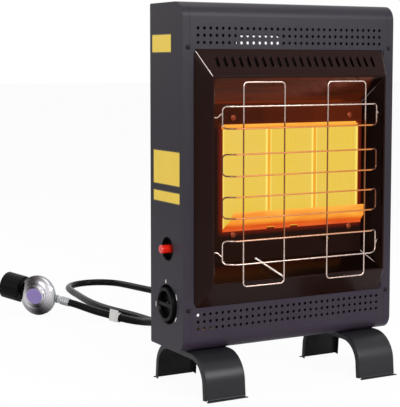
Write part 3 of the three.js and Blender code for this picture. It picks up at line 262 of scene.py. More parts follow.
def turn_outward():
    """In edit mode, points every face outward."""
    bpy.ops.mesh.select_all(action="SELECT")
    bpy.ops.mesh.normals_make_consistent(inside=False)


def extrude(across, back, up):
    """In edit mode, extrudes what is selected by a step in millimetres."""
    bpy.ops.mesh.extrude_region_move(
        TRANSFORM_OT_translate={"value": (across * MM, back * MM, up * MM)})


def move(across, back, up):
    """In edit mode, moves what is selected by a step in millimetres."""
    bpy.ops.transform.translate(value=(across * MM, back * MM, up * MM))


def finish_with(piece, kind, name, **settings):
    """Adds one modifier with its settings and applies it."""
    only(piece)
    modifier = piece.modifiers.new(name, kind)
    for word, value in settings.items():
        setattr(modifier, word, value)
    bpy.ops.object.modifier_apply(modifier=name)
    return piece


def smooth(piece, degrees):
    """Shades curved faces smooth, keeps sharper edges and leaves large flat faces flat."""
    only(piece)
    bpy.ops.object.shade_smooth_by_angle(angle=math.radians(degrees))
    return finish_with(piece, "WEIGHTED_NORMAL", "flat faces first", mode="FACE_AREA",
                       weight=50, keep_sharp=True)


def round_edges(piece, width, segments=2, sharper_than=35.0):
    """Rounds every edge that is sharper than the angle, by a width in millimetres."""
    return finish_with(piece, "BEVEL", "rounded edges", width=width * MM, segments=segments,
                       limit_method="ANGLE", angle_limit=math.radians(sharper_than),
                       use_clamp_overlap=True, harden_normals=False)


# %% A CAD node made fine
WELD = 0.00001
FLAT = math.radians(0.3)
SHADE_ANGLE = 40.0


def weld(piece, flat=None):
    """Merges points that lie together, and faces that lie in one plane where an angle is given."""
    with editing(piece):
        bpy.ops.mesh.remove_doubles(threshold=WELD)
        if flat:
            bpy.ops.mesh.dissolve_limited(angle_limit=flat)
    return piece


def refined(name, width):
    """A copy of a CAD node with joined faces, rounded edges and smooth curves."""
    piece = nodes[name].copy()
    piece.data = nodes[name].data.copy()
    piece.name = name + "_formed"
    scene.collection.objects.link(piece)
    weld(piece, FLAT)
    if width:
        weld(round_edges(piece, width))
    return stands_for(smooth(piece, SHADE_ANGLE), name)


print("a node sits at", tuple(nodes["control_knob"].matrix_world.translation))

# %% [markdown]
# ## Pressed steel and moulded plastic
# The list below says how far each piece's edges are rounded, in millimetres: a press brake leaves
# about half a sheet's thickness, a moulding a little more. Where the width is 0, the sheet's
# edges are hidden or too thin to see, and the piece only gets smooth curves.

# %% Refine the nodes that show
REFINED = [
    ("left_side_panel", 0.0), ("right_side_panel", 0.0), ("back_panel", 0.0),
    ("front_bezel", 0.45), ("control_knob", 0.7), ("knob_well", 0.4), ("igniter_cup", 0.4),
    ("igniter_button", 1.2), ("regulator_body", 1.0), ("hand_nut", 0.5),
    ("hose_strain_relief", 0.5), ("hose_fitting", 0.5), ("inlet_nozzle", 0.4),
    ("burner_front_plate", 0.0), ("reflector", 0.0), ("hose_tag", 0.0), ("spark_electrode", 0.0),
    ("upper_flame_lip", 0.3), ("lower_flame_rail", 0.3),
]
CASE_SCREWS, BURNER_SCREWS = ([f"{kind}_screw_{i}" for i in range(1, 5)]
                              for kind in ("case", "burner"))
SCREW_EDGE = 0.5
finished = {name: refined(name, width) for name, width in REFINED}
for name in CASE_SCREWS + BURNER_SCREWS:
    finished[name] = refined(name, SCREW_EDGE)
print(len(finished), "nodes refined,", sum(len(p.data.polygons) for p in finished.values()),
      "faces")

# %% [markdown]
# ## Perforated panels
# The holes that let the hot air out are punched round. In the CAD they have six sides, which is
# enough to place them. Beveling the six short edges inside each hole turns it round in one step
# for all the holes, and leaves every other edge of the panel alone.

# %% Round the holes
HOLE_BEVEL = 0.95
SHEET = 1.2
SIXTH_TURN = math.pi / 3
NEARLY = 0.35


def is_hole_corner(edge):
    """True for a short edge straight through the sheet where two sides of a hole meet."""
    through = edge.verts[1].co - edge.verts[0].co
    return (len(edge.link_faces) == 2 and abs(through.y) > 0.99 * through.length
            and through.length < 2 * SHEET * MM
            and abs(edge.calc_face_angle(0) - SIXTH_TURN) < NEARLY)


for name in ("top_grille_panel", "bottom_grille_panel"):
    with editing(refined(name, 0.0)) as panel:
        select_parts(panel, "edges", is_hole_corner)
        bpy.ops.mesh.bevel(offset=HOLE_BEVEL * MM, segments=2, affect="EDGES")
    finished[name] = smooth(panel, SHADE_ANGLE)
    print(name, len(panel.data.polygons), "faces")

# %% [markdown]
# ## Flame strips and burner screws
# A close look at the photograph shows that the lip above the plaques ends just short of the last
# plaque, that the rail below them is a little lower, and that the burner's screw heads are wide
# and flat. They could be made anew, but all that is wrong is where one end lies. So the points of
# that end are selected by their place, and moved or scaled by a few millimetres.

# %% Trim the strips and widen the screw heads
LIP_TRIM = 8.0
RAIL_LOW = 201.6
RAIL_SHARE = 0.87
HEAD_SHARE = 1.4
HEAD_DEPTH = 3.0

with editing(finished["upper_flame_lip"]) as lip:
    select_parts(lip, "verts", lambda v: v.co.x > 0)
    move(-LIP_TRIM, 0, 0)

with editing(finished["lower_flame_rail"]) as rail:
    low = min(v.co.z for v in bmesh.from_edit_mesh(rail.data).verts)
    bpy.ops.transform.translate(value=(0, 0, place(0, 0, RAIL_LOW).z - low))
    bpy.ops.transform.resize(value=(1, 1, RAIL_SHARE), center_override=place(0, 0, RAIL_LOW))

for name in BURNER_SCREWS:
    corners = [Vector(corner) for corner in finished[name].bound_box]
    middle = sum(corners, Vector()) / len(corners)
    neck = min(corner.y for corner in corners) + HEAD_DEPTH * MM
    with editing(finished[name]) as head:
        select_parts(head, "verts", lambda v: v.co.y < neck)
        bpy.ops.transform.resize(value=(HEAD_SHARE, 1, HEAD_SHARE), center_override=middle)
print("lip ends at", round(max(v.co.x for v in lip.data.vertices), 4), "rail tops at",
      round(max(v.co.z for v in rail.data.vertices), 4))

# %% [markdown]
# ## Feet
# Each foot is one strip of steel. Its middle is flat, its shoulders are rolled, its side edges
# are folded down along the whole arch and its ends are turned out on the floor. A solid arch
# gives the folded edges at once: its underside is taken away, and the outside with its two deep
# sides is left. The fold is then rounded, the ends are turned out, and the skin gets its wall.

# %% Foot sizes in millimetres
FOOT_INSET = 20.0
FOOT_WIDTH = 78.5
FOOT_CROWN = 42.0
SHOULDER_RADIUS = 50.0
FOOT_TOP = -0.3
FOOT_SPLAY = 2.0
FOOT_FOLD = 11.0
FOOT_SHEET = 1.5
FOLD_RADIUS = 3.5
SHEET_EDGE = 0.4
LIP_BEND = 2.5
LIP_LENGTH = 6.5
SHOULDER_STEPS = 14
LIP_STEPS = 4
SQUARE_ONLY = 60.0
SIDEWAYS = 0.5
DOWNWARD = -0.7
LIP_TOP = -FOOT_HEIGHT + FOOT_SHEET


def arch_strip(left):
    """The front half of the arch as a thin strip: crown, rolled shoulder and leg."""
    middle = left + FOOT_WIDTH / 2
    bpy.ops.mesh.primitive_plane_add(size=FOOT_WIDTH * MM,
                                     location=place(middle, CENTRE_BACK, FOOT_TOP))
    leg_top = FOOT_TOP - SHOULDER_RADIUS
    with editing(bpy.context.active_object) as strip:
        bpy.ops.transform.resize(value=(1, FOOT_CROWN / FOOT_WIDTH, 1),
                                 center_override=place(middle, CENTRE_BACK, FOOT_TOP))
        move(0, -FOOT_CROWN / 2, 0)
        front = min(v.co.y for v in bmesh.from_edit_mesh(strip.data).verts)
        select_parts(strip, "edges", lambda e: all(v.co.y < front + WELD for v in e.verts))
        bpy.ops.mesh.spin(steps=SHOULDER_STEPS, angle=-QUARTER, axis=(1, 0, 0),
                          center=place(middle, CENTRE_BACK - FOOT_CROWN, leg_top))
        extrude(0, -FOOT_SPLAY, LIP_TOP + LIP_BEND - leg_top)
    return strip


# %% The folded channel with its turned-out ends
def is_inside(face):
    """True for the underside and the ends of the solid arch, in the foot's own place."""
    middle = face.calc_center_median()
    outward = Vector((0, middle.y, middle.z + FOOT_HEIGHT * MM))
    if abs(face.normal.x) > SIDEWAYS:
        return False
    return face.normal.dot(outward) < 0 or face.normal.z < DOWNWARD


def turn_out(strip, left, side):
    """Turns one end of the skin outward on the floor; side is -1 in front and 1 behind."""
    middle = left + FOOT_WIDTH / 2
    reach = (FOOT_CROWN + SHOULDER_RADIUS + FOOT_SPLAY) * MM - WELD
    select_parts(strip, "edges", lambda e: all(v.co.y * side > reach for v in e.verts))
    leg_back = CENTRE_BACK + side * (FOOT_CROWN + SHOULDER_RADIUS + FOOT_SPLAY + LIP_BEND)
    bpy.ops.mesh.spin(steps=LIP_STEPS, angle=-QUARTER * side, axis=(1, 0, 0),
                      center=place(middle, leg_back, LIP_TOP + LIP_BEND))
    bpy.ops.transform.resize(value=(FOOT_WIDTH / (FOOT_WIDTH - 2 * FOLD_RADIUS), 1, 1),
                             center_override=place(middle, leg_back, LIP_TOP))
    extrude(0, side * (LIP_LENGTH - LIP_BEND), 0)
    fold = (FOOT_WIDTH / 2 - FOLD_RADIUS) * MM + WELD
    floor_side = place(0, 0, LIP_TOP + 2 * LIP_BEND).z - FOOT_HEIGHT * MM
    select_parts(strip, "verts", lambda v: (abs(v.co.x) > fold and v.co.z < floor_side
                                            and 0 < v.co.y * side < reach - WELD))
    move(0, 0, -LIP_BEND)


# %% Press the feet
def pressed_foot(node, left):
    """One foot from its strip."""
    strip = arch_strip(left)
    strip.name = node + "_formed"
    finish_with(strip, "MIRROR", "other half", use_axis=(False, True, False), use_clip=True,
                merge_threshold=WELD)
    with editing(strip):
        turn_outward()
        top = max(bmesh.from_edit_mesh(strip.data).faces,
                  key=lambda f: f.calc_center_median().z)
        if top.normal.z < 0:
            bpy.ops.mesh.flip_normals()
    finish_with(strip, "SOLIDIFY", "solid arch", thickness=FOOT_FOLD * MM, offset=-1)
    with editing(strip):
        select_parts(strip, "faces", is_inside)
        bpy.ops.mesh.delete(type="FACE")
    round_edges(strip, FOLD_RADIUS, 4, SQUARE_ONLY)
    with editing(strip):
        for side in (-1, 1):
            turn_out(strip, left, side)
    finish_with(strip, "SOLIDIFY", "wall", thickness=FOOT_SHEET * MM, offset=-1)
    round_edges(strip, SHEET_EDGE, 2, SQUARE_ONLY)
    only(strip)
    bpy.ops.object.transform_apply(location=True, rotation=True, scale=True)
    return stands_for(smooth(strip, SHADE_ANGLE), node)


for node, left in (("left_foot", FOOT_INSET),
                   ("right_foot", CASE_WIDTH - FOOT_INSET - FOOT_WIDTH)):
    foot = finished[node] = pressed_foot(node, left)
    print(node, len(foot.data.polygons), "faces, from", foot.bound_box[0][:], "to",
          foot.bound_box[6][:])

# %% [markdown]
# ## Wire guard
# The guard is drawn wire: every loop is one round wire with bent corners, welded where it crosses
# another. It could be extruded bend by bend, but a closed curve with a round bevel is just such a
# wire, and stays equally thick all the way round. The cross loops bend back near their ends, and
# four short hooks hold the guard in the reflector's sides: the upper two bend down to their holes
# and the lower two bend up.

# %% Guard sizes in millimetres, from the opening that it covers
WIRE_RADIUS = 1.35
WIRE_FINENESS = 3
WIRE_SHADE_ANGLE = 60.0
GUARD_SIDES = (58.5, 374.0)
GUARD_BENDS = (80.0, 352.0)
GUARD_FRONT = -45.0
GUARD_ENDS = -30.0
GUARD_CORNER = 7.0
CORNER_STEPS = 6
UPRIGHT_FRONT = -42.65
UPRIGHT_ENDS = (114.5, 456.7)
UPRIGHTS = [(91.94, 172.71), (260.74, 340.24)]
CROSS_LOOPS = [(379.75, 416.74), (300.70, 337.17), (230.03, 265.80), (152.90, 192.34)]
HOOK_OUT = Vector((-0.8505, 0.5260, 0))
HOOK_LENGTH = 20.0
HOOK_BEND = 6.5
HOOK_BEND_SHARE = 0.5
HOOK_STEPS = 10


def rounded_corners(left, right, low, high, radius):
    """Points (across, up) round a rectangle with round corners."""
    centres = [(right - radius, low + radius, -1), (right - radius, high - radius, 0),
               (left + radius, high - radius, 1), (left + radius, low + radius, 2)]
    return [(x + radius * math.cos(angle), z + radius * math.sin(angle))
            for x, z, quarter in centres
            for angle in ((quarter + step / CORNER_STEPS) * QUARTER
                          for step in range(CORNER_STEPS + 1))]


def cross_depth(across):
    """How far in front a cross wire runs: flat in the middle, bent back at its ends."""
    left, right = GUARD_BENDS
    past = max(left - across, across - right, 0)
    return GUARD_FRONT + (GUARD_ENDS - GUARD_FRONT) * min(past / (left - GUARD_SIDES[0]), 1)


def hook_line(start, out, bend):
    """A short S from the loop to its hole in the reflector, which it enters straight."""
    shares = [step / HOOK_STEPS for step in range(HOOK_STEPS + 1)]
    lifts = [bend * (1 + math.cos(math.pi * min(share / HOOK_BEND_SHARE, 1))) / 2
             for share in shares]
    return [start + out * share + Vector((0, 0, lift * MM))
            for share, lift in zip(shares, lifts)]


# %% Bend the wires and weld them into one guard
wires = []
for low, high in CROSS_LOOPS:
    outline = rounded_corners(*GUARD_SIDES, low, high, GUARD_CORNER)
    half = len(outline) // 2
    outline[half:half] = [(bend, high) for bend in reversed(GUARD_BENDS)]
    outline += [(bend, low) for bend in GUARD_BENDS]
    wires.append(wire_curve("cross_loop", [place(x, cross_depth(x), z) for x, z in outline],
                            WIRE_RADIUS, WIRE_FINENESS, closed=True))
for left, right in UPRIGHTS:
    outline = rounded_corners(left, right, *UPRIGHT_ENDS, GUARD_CORNER)
    wires.append(wire_curve("upright_loop", [place(x, UPRIGHT_FRONT, z) for x, z in outline],
                            WIRE_RADIUS, WIRE_FINENESS, closed=True))
for (low, high), bend in ((CROSS_LOOPS[0], HOOK_BEND), (CROSS_LOOPS[-1], -HOOK_BEND)):
    for side, across in zip((1, -1), GUARD_SIDES):
        start = place(across, GUARD_ENDS, (low + high) / 2)
        out = Vector((HOOK_OUT.x * side, HOOK_OUT.y, 0)) * HOOK_LENGTH * MM
        wires.append(wire_curve("hook", hook_line(start, out, bend), WIRE_RADIUS,
                                WIRE_FINENESS))


def welded(name, parts):
    """Makes curves into one mesh piece."""
    only(parts[0])
    for part in parts:
        part.select_set(True)
    bpy.ops.object.convert(target="MESH")
    bpy.ops.object.join()
    whole = bpy.context.active_object
    whole.name = name
    return smooth(whole, WIRE_SHADE_ANGLE)


guard = stands_for(welded("round_wire_guard", wires), "wire_guard")
print("guard", len(guard.data.polygons), "faces")

# %% [markdown]
# ## Seams of the bezel and the reflector
# Both are folded from flat sheet and closed at their mitred corners by a fine bead of weld: the
# bezel at its two upper corners, the reflector at all four. The beads catch the light as thin
# bright lines. A bright stripe in the paint would look flat from the side, so each bead is a thin
# round wire, half sunk into the sheet. Their finish also adds a painted glint: the upper left
# bezel bead and the lower right reflector beads are painted near white.

# %% Corners of the two frames: left, right, low, high and how far back, in millimetres
BEZEL_RIM = (24.5, 407.5, 80.5, 507.5, -0.1)
BEZEL_RIDGE = (39.9, 392.6, 118.4, 466.6, -30.8)
REFLECTOR_RIM = (43.2, 389.2, 121.8, 463.2, -29.6)
REFLECTOR_THROAT = (63.4, 368.6, 149.4, 419.6, 6.2)
LOW, HIGH, INWARD = 2, 3, 4
BEZEL_BEAD = 0.55
REFLECTOR_BEAD = 0.5
BEAD_FINENESS = 2


# %% Seam beads
def corner_beads(name, outer, inner, radius, heights):
    """Thin beads from the outer corners of a frame to its inner corners, at these heights."""
    beads = []
    for side in (0, 1):
        for height in heights:
            ends = [place(rim[side], rim[INWARD], rim[height]) for rim in (outer, inner)]
            beads.append(wire_curve(name, ends, radius, BEAD_FINENESS))
    return welded(name, beads)


bezel_seams = added(corner_beads("bezel_seam_beads", BEZEL_RIM, BEZEL_RIDGE, BEZEL_BEAD,
                                 [HIGH]))
reflector_seams = added(corner_beads("reflector_seam_beads", REFLECTOR_RIM, REFLECTOR_THROAT,
                                     REFLECTOR_BEAD, [LOW, HIGH]))
print("seam beads made")

# %% [markdown]
# ## Turned pieces of the regulator
# The regulator's cover is a spun dish with a rolled rim and a raised middle, and the ferrule is
# crimped in ribs onto the hose. Both are turned shapes. A circle is extruded and scaled ring by
# ring up the axis, as one would do by hand, and then laid into the regulator's own place.

# %% A circle grown ring by ring
def turned(name, rings, sides):
    """A turned piece from (radius, height) rings in millimetres, about its own Z axis."""
    radius, height = rings[0]
    bpy.ops.mesh.primitive_circle_add(vertices=sides, radius=radius * MM, fill_type="NOTHING",
                                      location=(0, 0, 0))
    with editing(bpy.context.active_object) as piece:
        move(0, 0, height)
        for (radius, height), (next_radius, next_height) in zip(rings, rings[1:]):
            extrude(0, 0, next_height - height)
            share = next_radius / radius
            bpy.ops.transform.resize(value=(share, share, 1), center_override=(0, 0, 0))
        bpy.ops.mesh.select_all(action="SELECT")
        bpy.ops.mesh.fill_holes(sides=0)
        turn_outward()
    piece.name = name
    return piece


def lay(piece, turn, where):
    """Puts a piece in its place and leaves the place in its mesh."""
    piece.matrix_world = Matrix.Translation(where) @ turn.to_4x4()
    only(piece)
    bpy.ops.object.transform_apply(location=True, rotation=True, scale=True)
    return piece


# %% Cover and sticker
FACING = REGULATOR_TURN @ Euler((QUARTER, 0, 0)).to_matrix()
COVER_SHADE_ANGLE = 50.0
COVER_RINGS = [(43.6, 3.4), (44.4, 3.9), (44.4, 5.4), (43.7, 6.4), (42.2, 6.9), (41.4, 7.2),
               (40.6, 8.4), (36.0, 11.2), (32.0, 13.0), (30.0, 13.6), (28.6, 13.8), (27.6, 13.2),
               (26.4, 13.1), (25.2, 13.9), (24.2, 14.6), (23.6, 15.2), (23.2, 16.3),
               (22.4, 16.9), (20.6, 17.0)]
cover = smooth(turned("spun_regulator_cover", COVER_RINGS, 96), COVER_SHADE_ANGLE)
stands_for(lay(cover, FACING, REGULATOR), "regulator_cover")

STICKER_RINGS = [(17.0, 17.0), (17.0, 17.12), (16.8, 17.2), (14.0, 17.2)]
STICKER_STRETCH = 1.18
sticker = turned("oval_sticker", STICKER_RINGS, 48)
with editing(sticker):
    bpy.ops.transform.resize(value=(STICKER_STRETCH, 1, 1), center_override=(0, 0, 0))
added(lay(sticker, FACING, REGULATOR))
print("cover and sticker made")

# %% Crimped ferrule
ALONG_HOSE = REGULATOR_TURN @ Euler((0, QUARTER, 0)).to_matrix()
FERRULE_START = 54.6
FERRULE_LENGTH = 22.0
FERRULE_SHADE_ANGLE = 35.0
RIBS = 4
rib = FERRULE_LENGTH / RIBS
ferrule_rings = [(7.8, 0.0)]
for i in range(RIBS):
    ferrule_rings += [(8.4, i * rib + 0.3), (9.3, i * rib + 1.0), (9.3, i * rib + rib - 1.4),
                      (8.4, i * rib + rib - 0.6)]
ferrule_rings += [(8.1, FERRULE_LENGTH)]
ferrule = smooth(turned("crimped_ferrule", ferrule_rings, 32), FERRULE_SHADE_ANGLE)
stands_for(lay(ferrule, ALONG_HOSE, on_regulator(FERRULE_START, PORT_BACK)), "hose_ferrule")
print("ferrule made of", len(ferrule_rings), "rings")

# %% [markdown]
# ## Labels and printed marks
# The left side carries three stuck-on labels and four small marks round the knob. Here the labels
# are plain yellow film with a thin dark border, and the marks are plain white strokes. Film has
# almost no thickness, but rounded corners and a real edge make it look stuck on and not painted.

# %% A film on the left side
FILM = 0.25
FILM_START = -0.02
FACE_LEFT = Euler((0, -QUARTER, 0)).to_matrix()


def film(name, front, back, low, high, corner, turn=0.0):
    """A thin film with round corners on the outside of the left panel."""
    bpy.ops.mesh.primitive_plane_add(size=MM)
    with editing(bpy.context.active_object) as piece:
        bpy.ops.transform.resize(value=(high - low, back - front, 1), center_override=(0, 0, 0))
        bpy.ops.mesh.bevel(offset=corner * MM, segments=4, affect="VERTICES")
        bpy.ops.mesh.select_all(action="SELECT")
        extrude(0, 0, FILM)
        turn_outward()
    piece.name = name
    spin = Euler((0, 0, turn)).to_matrix()
    where = place(FILM_START, (front + back) / 2, (low + high) / 2)
    return added(lay(piece, FACE_LEFT @ spin, where))


# %% Labels: front, back, low and high edge
LABEL_CORNER = 2.0
LABELS = [("upper_label", 39.5, 111.4, 505.0, 537.6), ("middle_label", 9.4, 107.5, 281.0, 341.0),
          ("lower_label", 9.5, 107.5, 251.0, 272.0)]
labels = [film(*label, LABEL_CORNER) for label in LABELS]
print(len(labels), "labels")

# %% Marks round the knob: back, up, length, width and turn of each stroke
MARK_CORNER = 0.8
MARKS = [(61.7, 115.4, 6.0, 4.0, 0.0), (99.2, 70.3, 9.0, 3.0, 0.0),
         (22.7, 94.0, 10.0, 2.6, 0.35), (25.7, 55.2, 9.5, 2.6, -0.6)]
marks = []
for i, (back, up, length, width, turn) in enumerate(MARKS, 1):
    marks.append(film(f"knob_mark_{i}", back - width / 2, back + width / 2, up - length / 2,
                      up + length / 2, MARK_CORNER, turn))
print(len(marks), "marks")

# %% [markdown]
# ## Shader sums as plain expressions
# A material is a graph of nodes, and its sums are easier to read as Python than as a row of Math
# nodes. A small class wraps a socket, so that `1 - mask * 0.3` adds the nodes by itself. A second
# class holds one finish, with a single method that adds any other node.

# %% A socket that can be added, multiplied and taken away
SUMS = {"add": "ADD", "sub": "SUBTRACT", "mul": "MULTIPLY"}


class Value:
    """A shader socket that adds Math nodes when it is used in a sum."""

    def __init__(self, finish, socket):
        self.finish = finish
        self.socket = socket

    def math(self, operation, *values, clamp=False):
        """The result of a Math node on the values."""
        return self.finish.node("ShaderNodeMath", {"operation": operation, "use_clamp": clamp},
                                dict(enumerate(values)))

    def within(self):
        """The value held between 0 and 1."""
        return self.math("ADD", self, 0.0, clamp=True)

    def wave(self):
        """A wave from 0 to 1 along the value."""
        return self.math("SINE", self) * 0.5 + 0.5


for word, operation in SUMS.items():
    setattr(Value, f"__{word}__",
            lambda self, other, op=operation: self.math(op, self, other))
    setattr(Value, f"__r{word}__",
            lambda self, other, op=operation: self.math(op, other, self))


# %% A finish: one material and the method that adds its nodes
class Finish:
    """One material. Its constants sit on the shader's own sockets."""

    def __init__(self, name, **constants):
        self.material = bpy.data.materials.new(name)
        self.material.use_nodes = True
        self.tree = self.material.node_tree
        self.shader = self.tree.nodes["Principled BSDF"]
        for word, value in constants.items():
            self.shader.inputs[word.replace("_", " ")].default_value = value

    def node(self, kind, settings=None, sockets=None, output=0):
        """Adds a node: its settings first, then the values or links of its sockets."""
        node = self.tree.nodes.new(kind)
        for word, value in (settings or {}).items():
            setattr(node, word, value)
        for slot, value in (sockets or {}).items():
            self.give(node.inputs[slot], value)
        return Value(self, node.outputs[output])

    def give(self, slot, value):
        """Links a value to a socket, or sets the socket to a number or colour."""
        if isinstance(value, Value):
            self.tree.links.new(value.socket, slot)
        else:
            slot.default_value = value

    def feed(self, **values):
        """Feeds the shader's sockets, whose names have spaces for underscores."""
        for word, value in values.items():
            self.give(self.shader.inputs[word.replace("_", " ")], value)
        return self

    def axes(self):
        """The three object coordinates, in metres, as values."""
        co = self.node("ShaderNodeTexCoord", output="Object")
        return [self.node("ShaderNodeSeparateXYZ", sockets={0: co}, output=i) for i in range(3)]

    def noise(self, scale, detail=2.0, stretch=(1, 1, 1)):
        """Soft noise in object coordinates, at a scale in cells per metre."""
        co = self.node("ShaderNodeTexCoord", output="Object")
        turned = self.node("ShaderNodeMapping", sockets={"Vector": co, "Scale": stretch})
        return self.node("ShaderNodeTexNoise",
                         sockets={"Vector": turned, "Scale": scale, "Detail": detail})

    def mix(self, share, first, second):
        """A colour between two colours."""
        return self.node("ShaderNodeMix", {"data_type": "RGBA"},
                         {0: share, 6: first, 7: second}, output=2)

    def rounded(self, radius):
        """The surface direction with its edges rounded over."""
        return self.node("ShaderNodeBevel", {"samples": 4}, {"Radius": radius})

    def edges(self, rounded):
        """1 along sharp edges and 0 on flat faces."""
        flat = self.node("ShaderNodeNewGeometry", output="Normal")
        along = self.node("ShaderNodeVectorMath", {"operation": "DOT_PRODUCT"},
                          {0: rounded, 1: flat}, output="Value")
        return ((1 - along) * 5).within()

    def bump(self, height, distance, normal=None, strength=1.0):
        """A normal from a height, over an optional rounded normal."""
        sockets = {"Height": height, "Distance": distance, "Strength": strength}
        if normal is not None:
            sockets["Normal"] = normal
        return self.node("ShaderNodeBump", sockets=sockets)

    def along(self, direction, origin):
        """How far a point is from the origin along a direction, in metres."""
        co = self.node("ShaderNodeTexCoord", output="Object")
        away = self.node("ShaderNodeVectorMath", {"operation": "SUBTRACT"}, {0: co, 1: origin})
        return self.node("ShaderNodeVectorMath", {"operation": "DOT_PRODUCT"},
                         {0: away, 1: direction}, output="Value")

    def ramp(self, value, start, end):
        """0 before the start, 1 after the end and straight between, both in metres."""
        return ((value - start) * (1 / (end - start))).within()


# %% Places and colours for the finishes
def span(axis, start, end):
    """Two places on the case along one axis, given in millimetres, in metres."""
    return [getattr(place(at, at, at), axis) for at in (start, end)]


def tone(red, green, blue):
    """A screen colour from 0 to 255 as the light that the shader works in."""
    def channel(value):
        share = value / 255
        return share / 12.92 if share <= 0.04045 else ((share + 0.055) / 1.055) ** 2.4
    return (channel(red), channel(green), channel(blue), 1.0)


print("charcoal", [round(c, 3) for c in tone(44, 39, 46)])

# %% [markdown]
# ## Painted steel
# The case is powder coated: a satin skin with a very fine orange-peel texture. The bezel round
# the burner has a darker, glossier, brown heat-proof enamel. A picture of paint could be wrapped
# round them, but it would blur close up and show a seam. Noise in the object's own coordinates
# does neither, so both paints are one recipe with other numbers: a slow change of tone, a fine
# bump, and edges that are rounded, with a painted highlight that makes them a little lighter. The
# case also has a painted reflection that makes it lighter and more purple low down.

# %% Paint
EDGE_RADIUS = 0.0006


def paint(name, colour, light, roughness, low=None, peel_scale=850.0, peel_height=0.00004,
          **constants):
    """Paint with soft changes of tone, orange peel, edges lightened as a painted highlight and,
    where given, a painted reflection low down in another tone.
    """
    finish = Finish(name, Metallic=0.0, **constants)
    cloud = finish.noise(9.0, 3.0)
    # Where a low tone is given, it is a painted reflection that makes the lower part lighter.
    if low:
        x, y, z = finish.axes()
        colour = finish.mix(finish.ramp(z, *span("z", 0, 260)), low, colour)
    fine = finish.noise(peel_scale, 1.0)
    rounded = finish.rounded(EDGE_RADIUS)
    edge = finish.edges(rounded)
    # Painted highlight: the lighter tone goes on the edges, and it also comes in at random with
    # the cloud.
    colour_now = finish.mix((cloud * 0.5 + edge * 0.5).within(), colour, light)
    normal = finish.bump(fine, peel_height, rounded)
    return finish.feed(Base_Color=colour_now, Roughness=roughness + (cloud - 0.5) * 0.12,
                       Normal=normal).material


# The case's low tone, lighter and more purple, is a painted reflection.
charcoal_coat = paint("charcoal_powder_coat", tone(34, 30, 36), tone(50, 46, 56), 0.38,
                      low=tone(42, 33, 46), Specular_IOR_Level=0.16)
black_coat = paint("black_powder_coat", tone(28, 27, 30), tone(42, 41, 45), 0.34,
                   Specular_IOR_Level=0.2)
blackened_steel = paint("blackened_screws", tone(7, 6, 7), tone(16, 15, 17), 0.35,
                        Specular_IOR_Level=0.15)
bezel_enamel = paint("brown_heat_enamel", tone(24, 9, 6), tone(34, 16, 12), 0.24,
                     peel_scale=300.0, peel_height=0.00003, Specular_IOR_Level=0.07,
                     Coat_Weight=0.02, Coat_Roughness=0.1)


def seam_finish_with_painted_glint(name, dull, glint_start, glint_end, side):
    """A folded seam with a painted glint, near white, on one side, fading in from one height of
    the case to another.
    """
    finish = Finish(name, Metallic=0.0, Specular_IOR_Level=0.5)
    x, y, z = finish.axes()
    # Painted highlight: where this mask is 1, the bead is painted near white as a glint.
    glint_mask = finish.ramp(z, *span("z", glint_start, glint_end))
    glint_mask = glint_mask * finish.ramp(x * side, 0.0, 0.02)
    speck = finish.noise(200.0, 2.0)
    bright = finish.mix(speck, tone(250, 244, 238), tone(214, 196, 186))
    return finish.feed(Base_Color=finish.mix(glint_mask, dull, bright), Roughness=0.2 + speck * 0.1,
                       Normal=finish.bump(speck, 0.00005)).material


# Painted glints on the upper left bezel bead and on the lower right reflector beads.
seam_enamel = seam_finish_with_painted_glint("seam_enamel_painted_glint", tone(52, 34, 30), 430, 460, -1)
seam_steel = seam_finish_with_painted_glint("seam_steel_painted_glint", tone(104, 96, 92), 190, 160, 1)
print("paints made")

# %% [markdown]
# ## Hot steel and ceramic
# The reflector is steel that heat has turned brown and red, most near the burner. On top of that,
# its right and lower walls are painted darker as painted shade, the left of its lower wall is
# painted lighter as a painted reflection of the glow, and its upper wall has a painted red glow
# for the plaques' light on it. The plaques are pierced ceramic: thousands of fine holes glow
# yellow in a slightly cooler grid. The strips above and below them glow orange, and so does the
# plate between the plaques. Lamps inside would make them look lit but not hot, so each surface has
# its own emission colour. The holes could be cut, but no one sees their depth, and two crossed
# waves draw the same grid without a single face.

# %% Where the burner's windows are
WINDOW_LEFT, WINDOW_RIGHT = span("x", 81, 361)
WINDOW_LOW, WINDOW_HIGH = span("z", 205, 376.5)
WINDOW_WIDTH = 0.090
WINDOW_PITCH = 0.095
HEAT_REACH = 0.001


def near_windows(finish, x, z, reach, rise=None):
    """1 in the windows' rectangle, falling to 0 at the reach beside it and the rise above it."""
    rise = rise or reach
    return ((1 - finish.ramp(x, WINDOW_RIGHT, WINDOW_RIGHT + reach))
            * finish.ramp(x, WINDOW_LEFT - reach, WINDOW_LEFT)
            * (1 - finish.ramp(z, WINDOW_HIGH, WINDOW_HIGH + rise))
            * finish.ramp(z, WINDOW_LOW - rise, WINDOW_LOW))


# %% Reflector: mirror-like brown steel with streaks of heat colour, painted shade and painted glow
reflector = Finish("heat_tinted_reflector_painted_shade_and_glow", Metallic=0.9, Emission_Strength=1.0,
                   Specular_IOR_Level=0.1)
x, y, z = reflector.axes()
deep = reflector.ramp(y, *span("y", -31, 7))
upper = reflector.ramp(z, *span("z", 400, 425))
rightward = reflector.ramp(x, *span("x", 60, 300))
streak = reflector.noise(30.0, 3.0, (0.25, 6, 3))
warm = (deep * 0.6 + rightward * 0.4 + (streak - 0.5) * 1.4).within()
# Painted shade: the right wall is painted dark.
painted_shade_right_wall = reflector.ramp(x, *span("x", 362, 370))
skin = reflector.mix(warm, tone(70, 46, 38), tone(104, 46, 26))
skin = reflector.mix(painted_shade_right_wall, skin, tone(26, 16, 14))
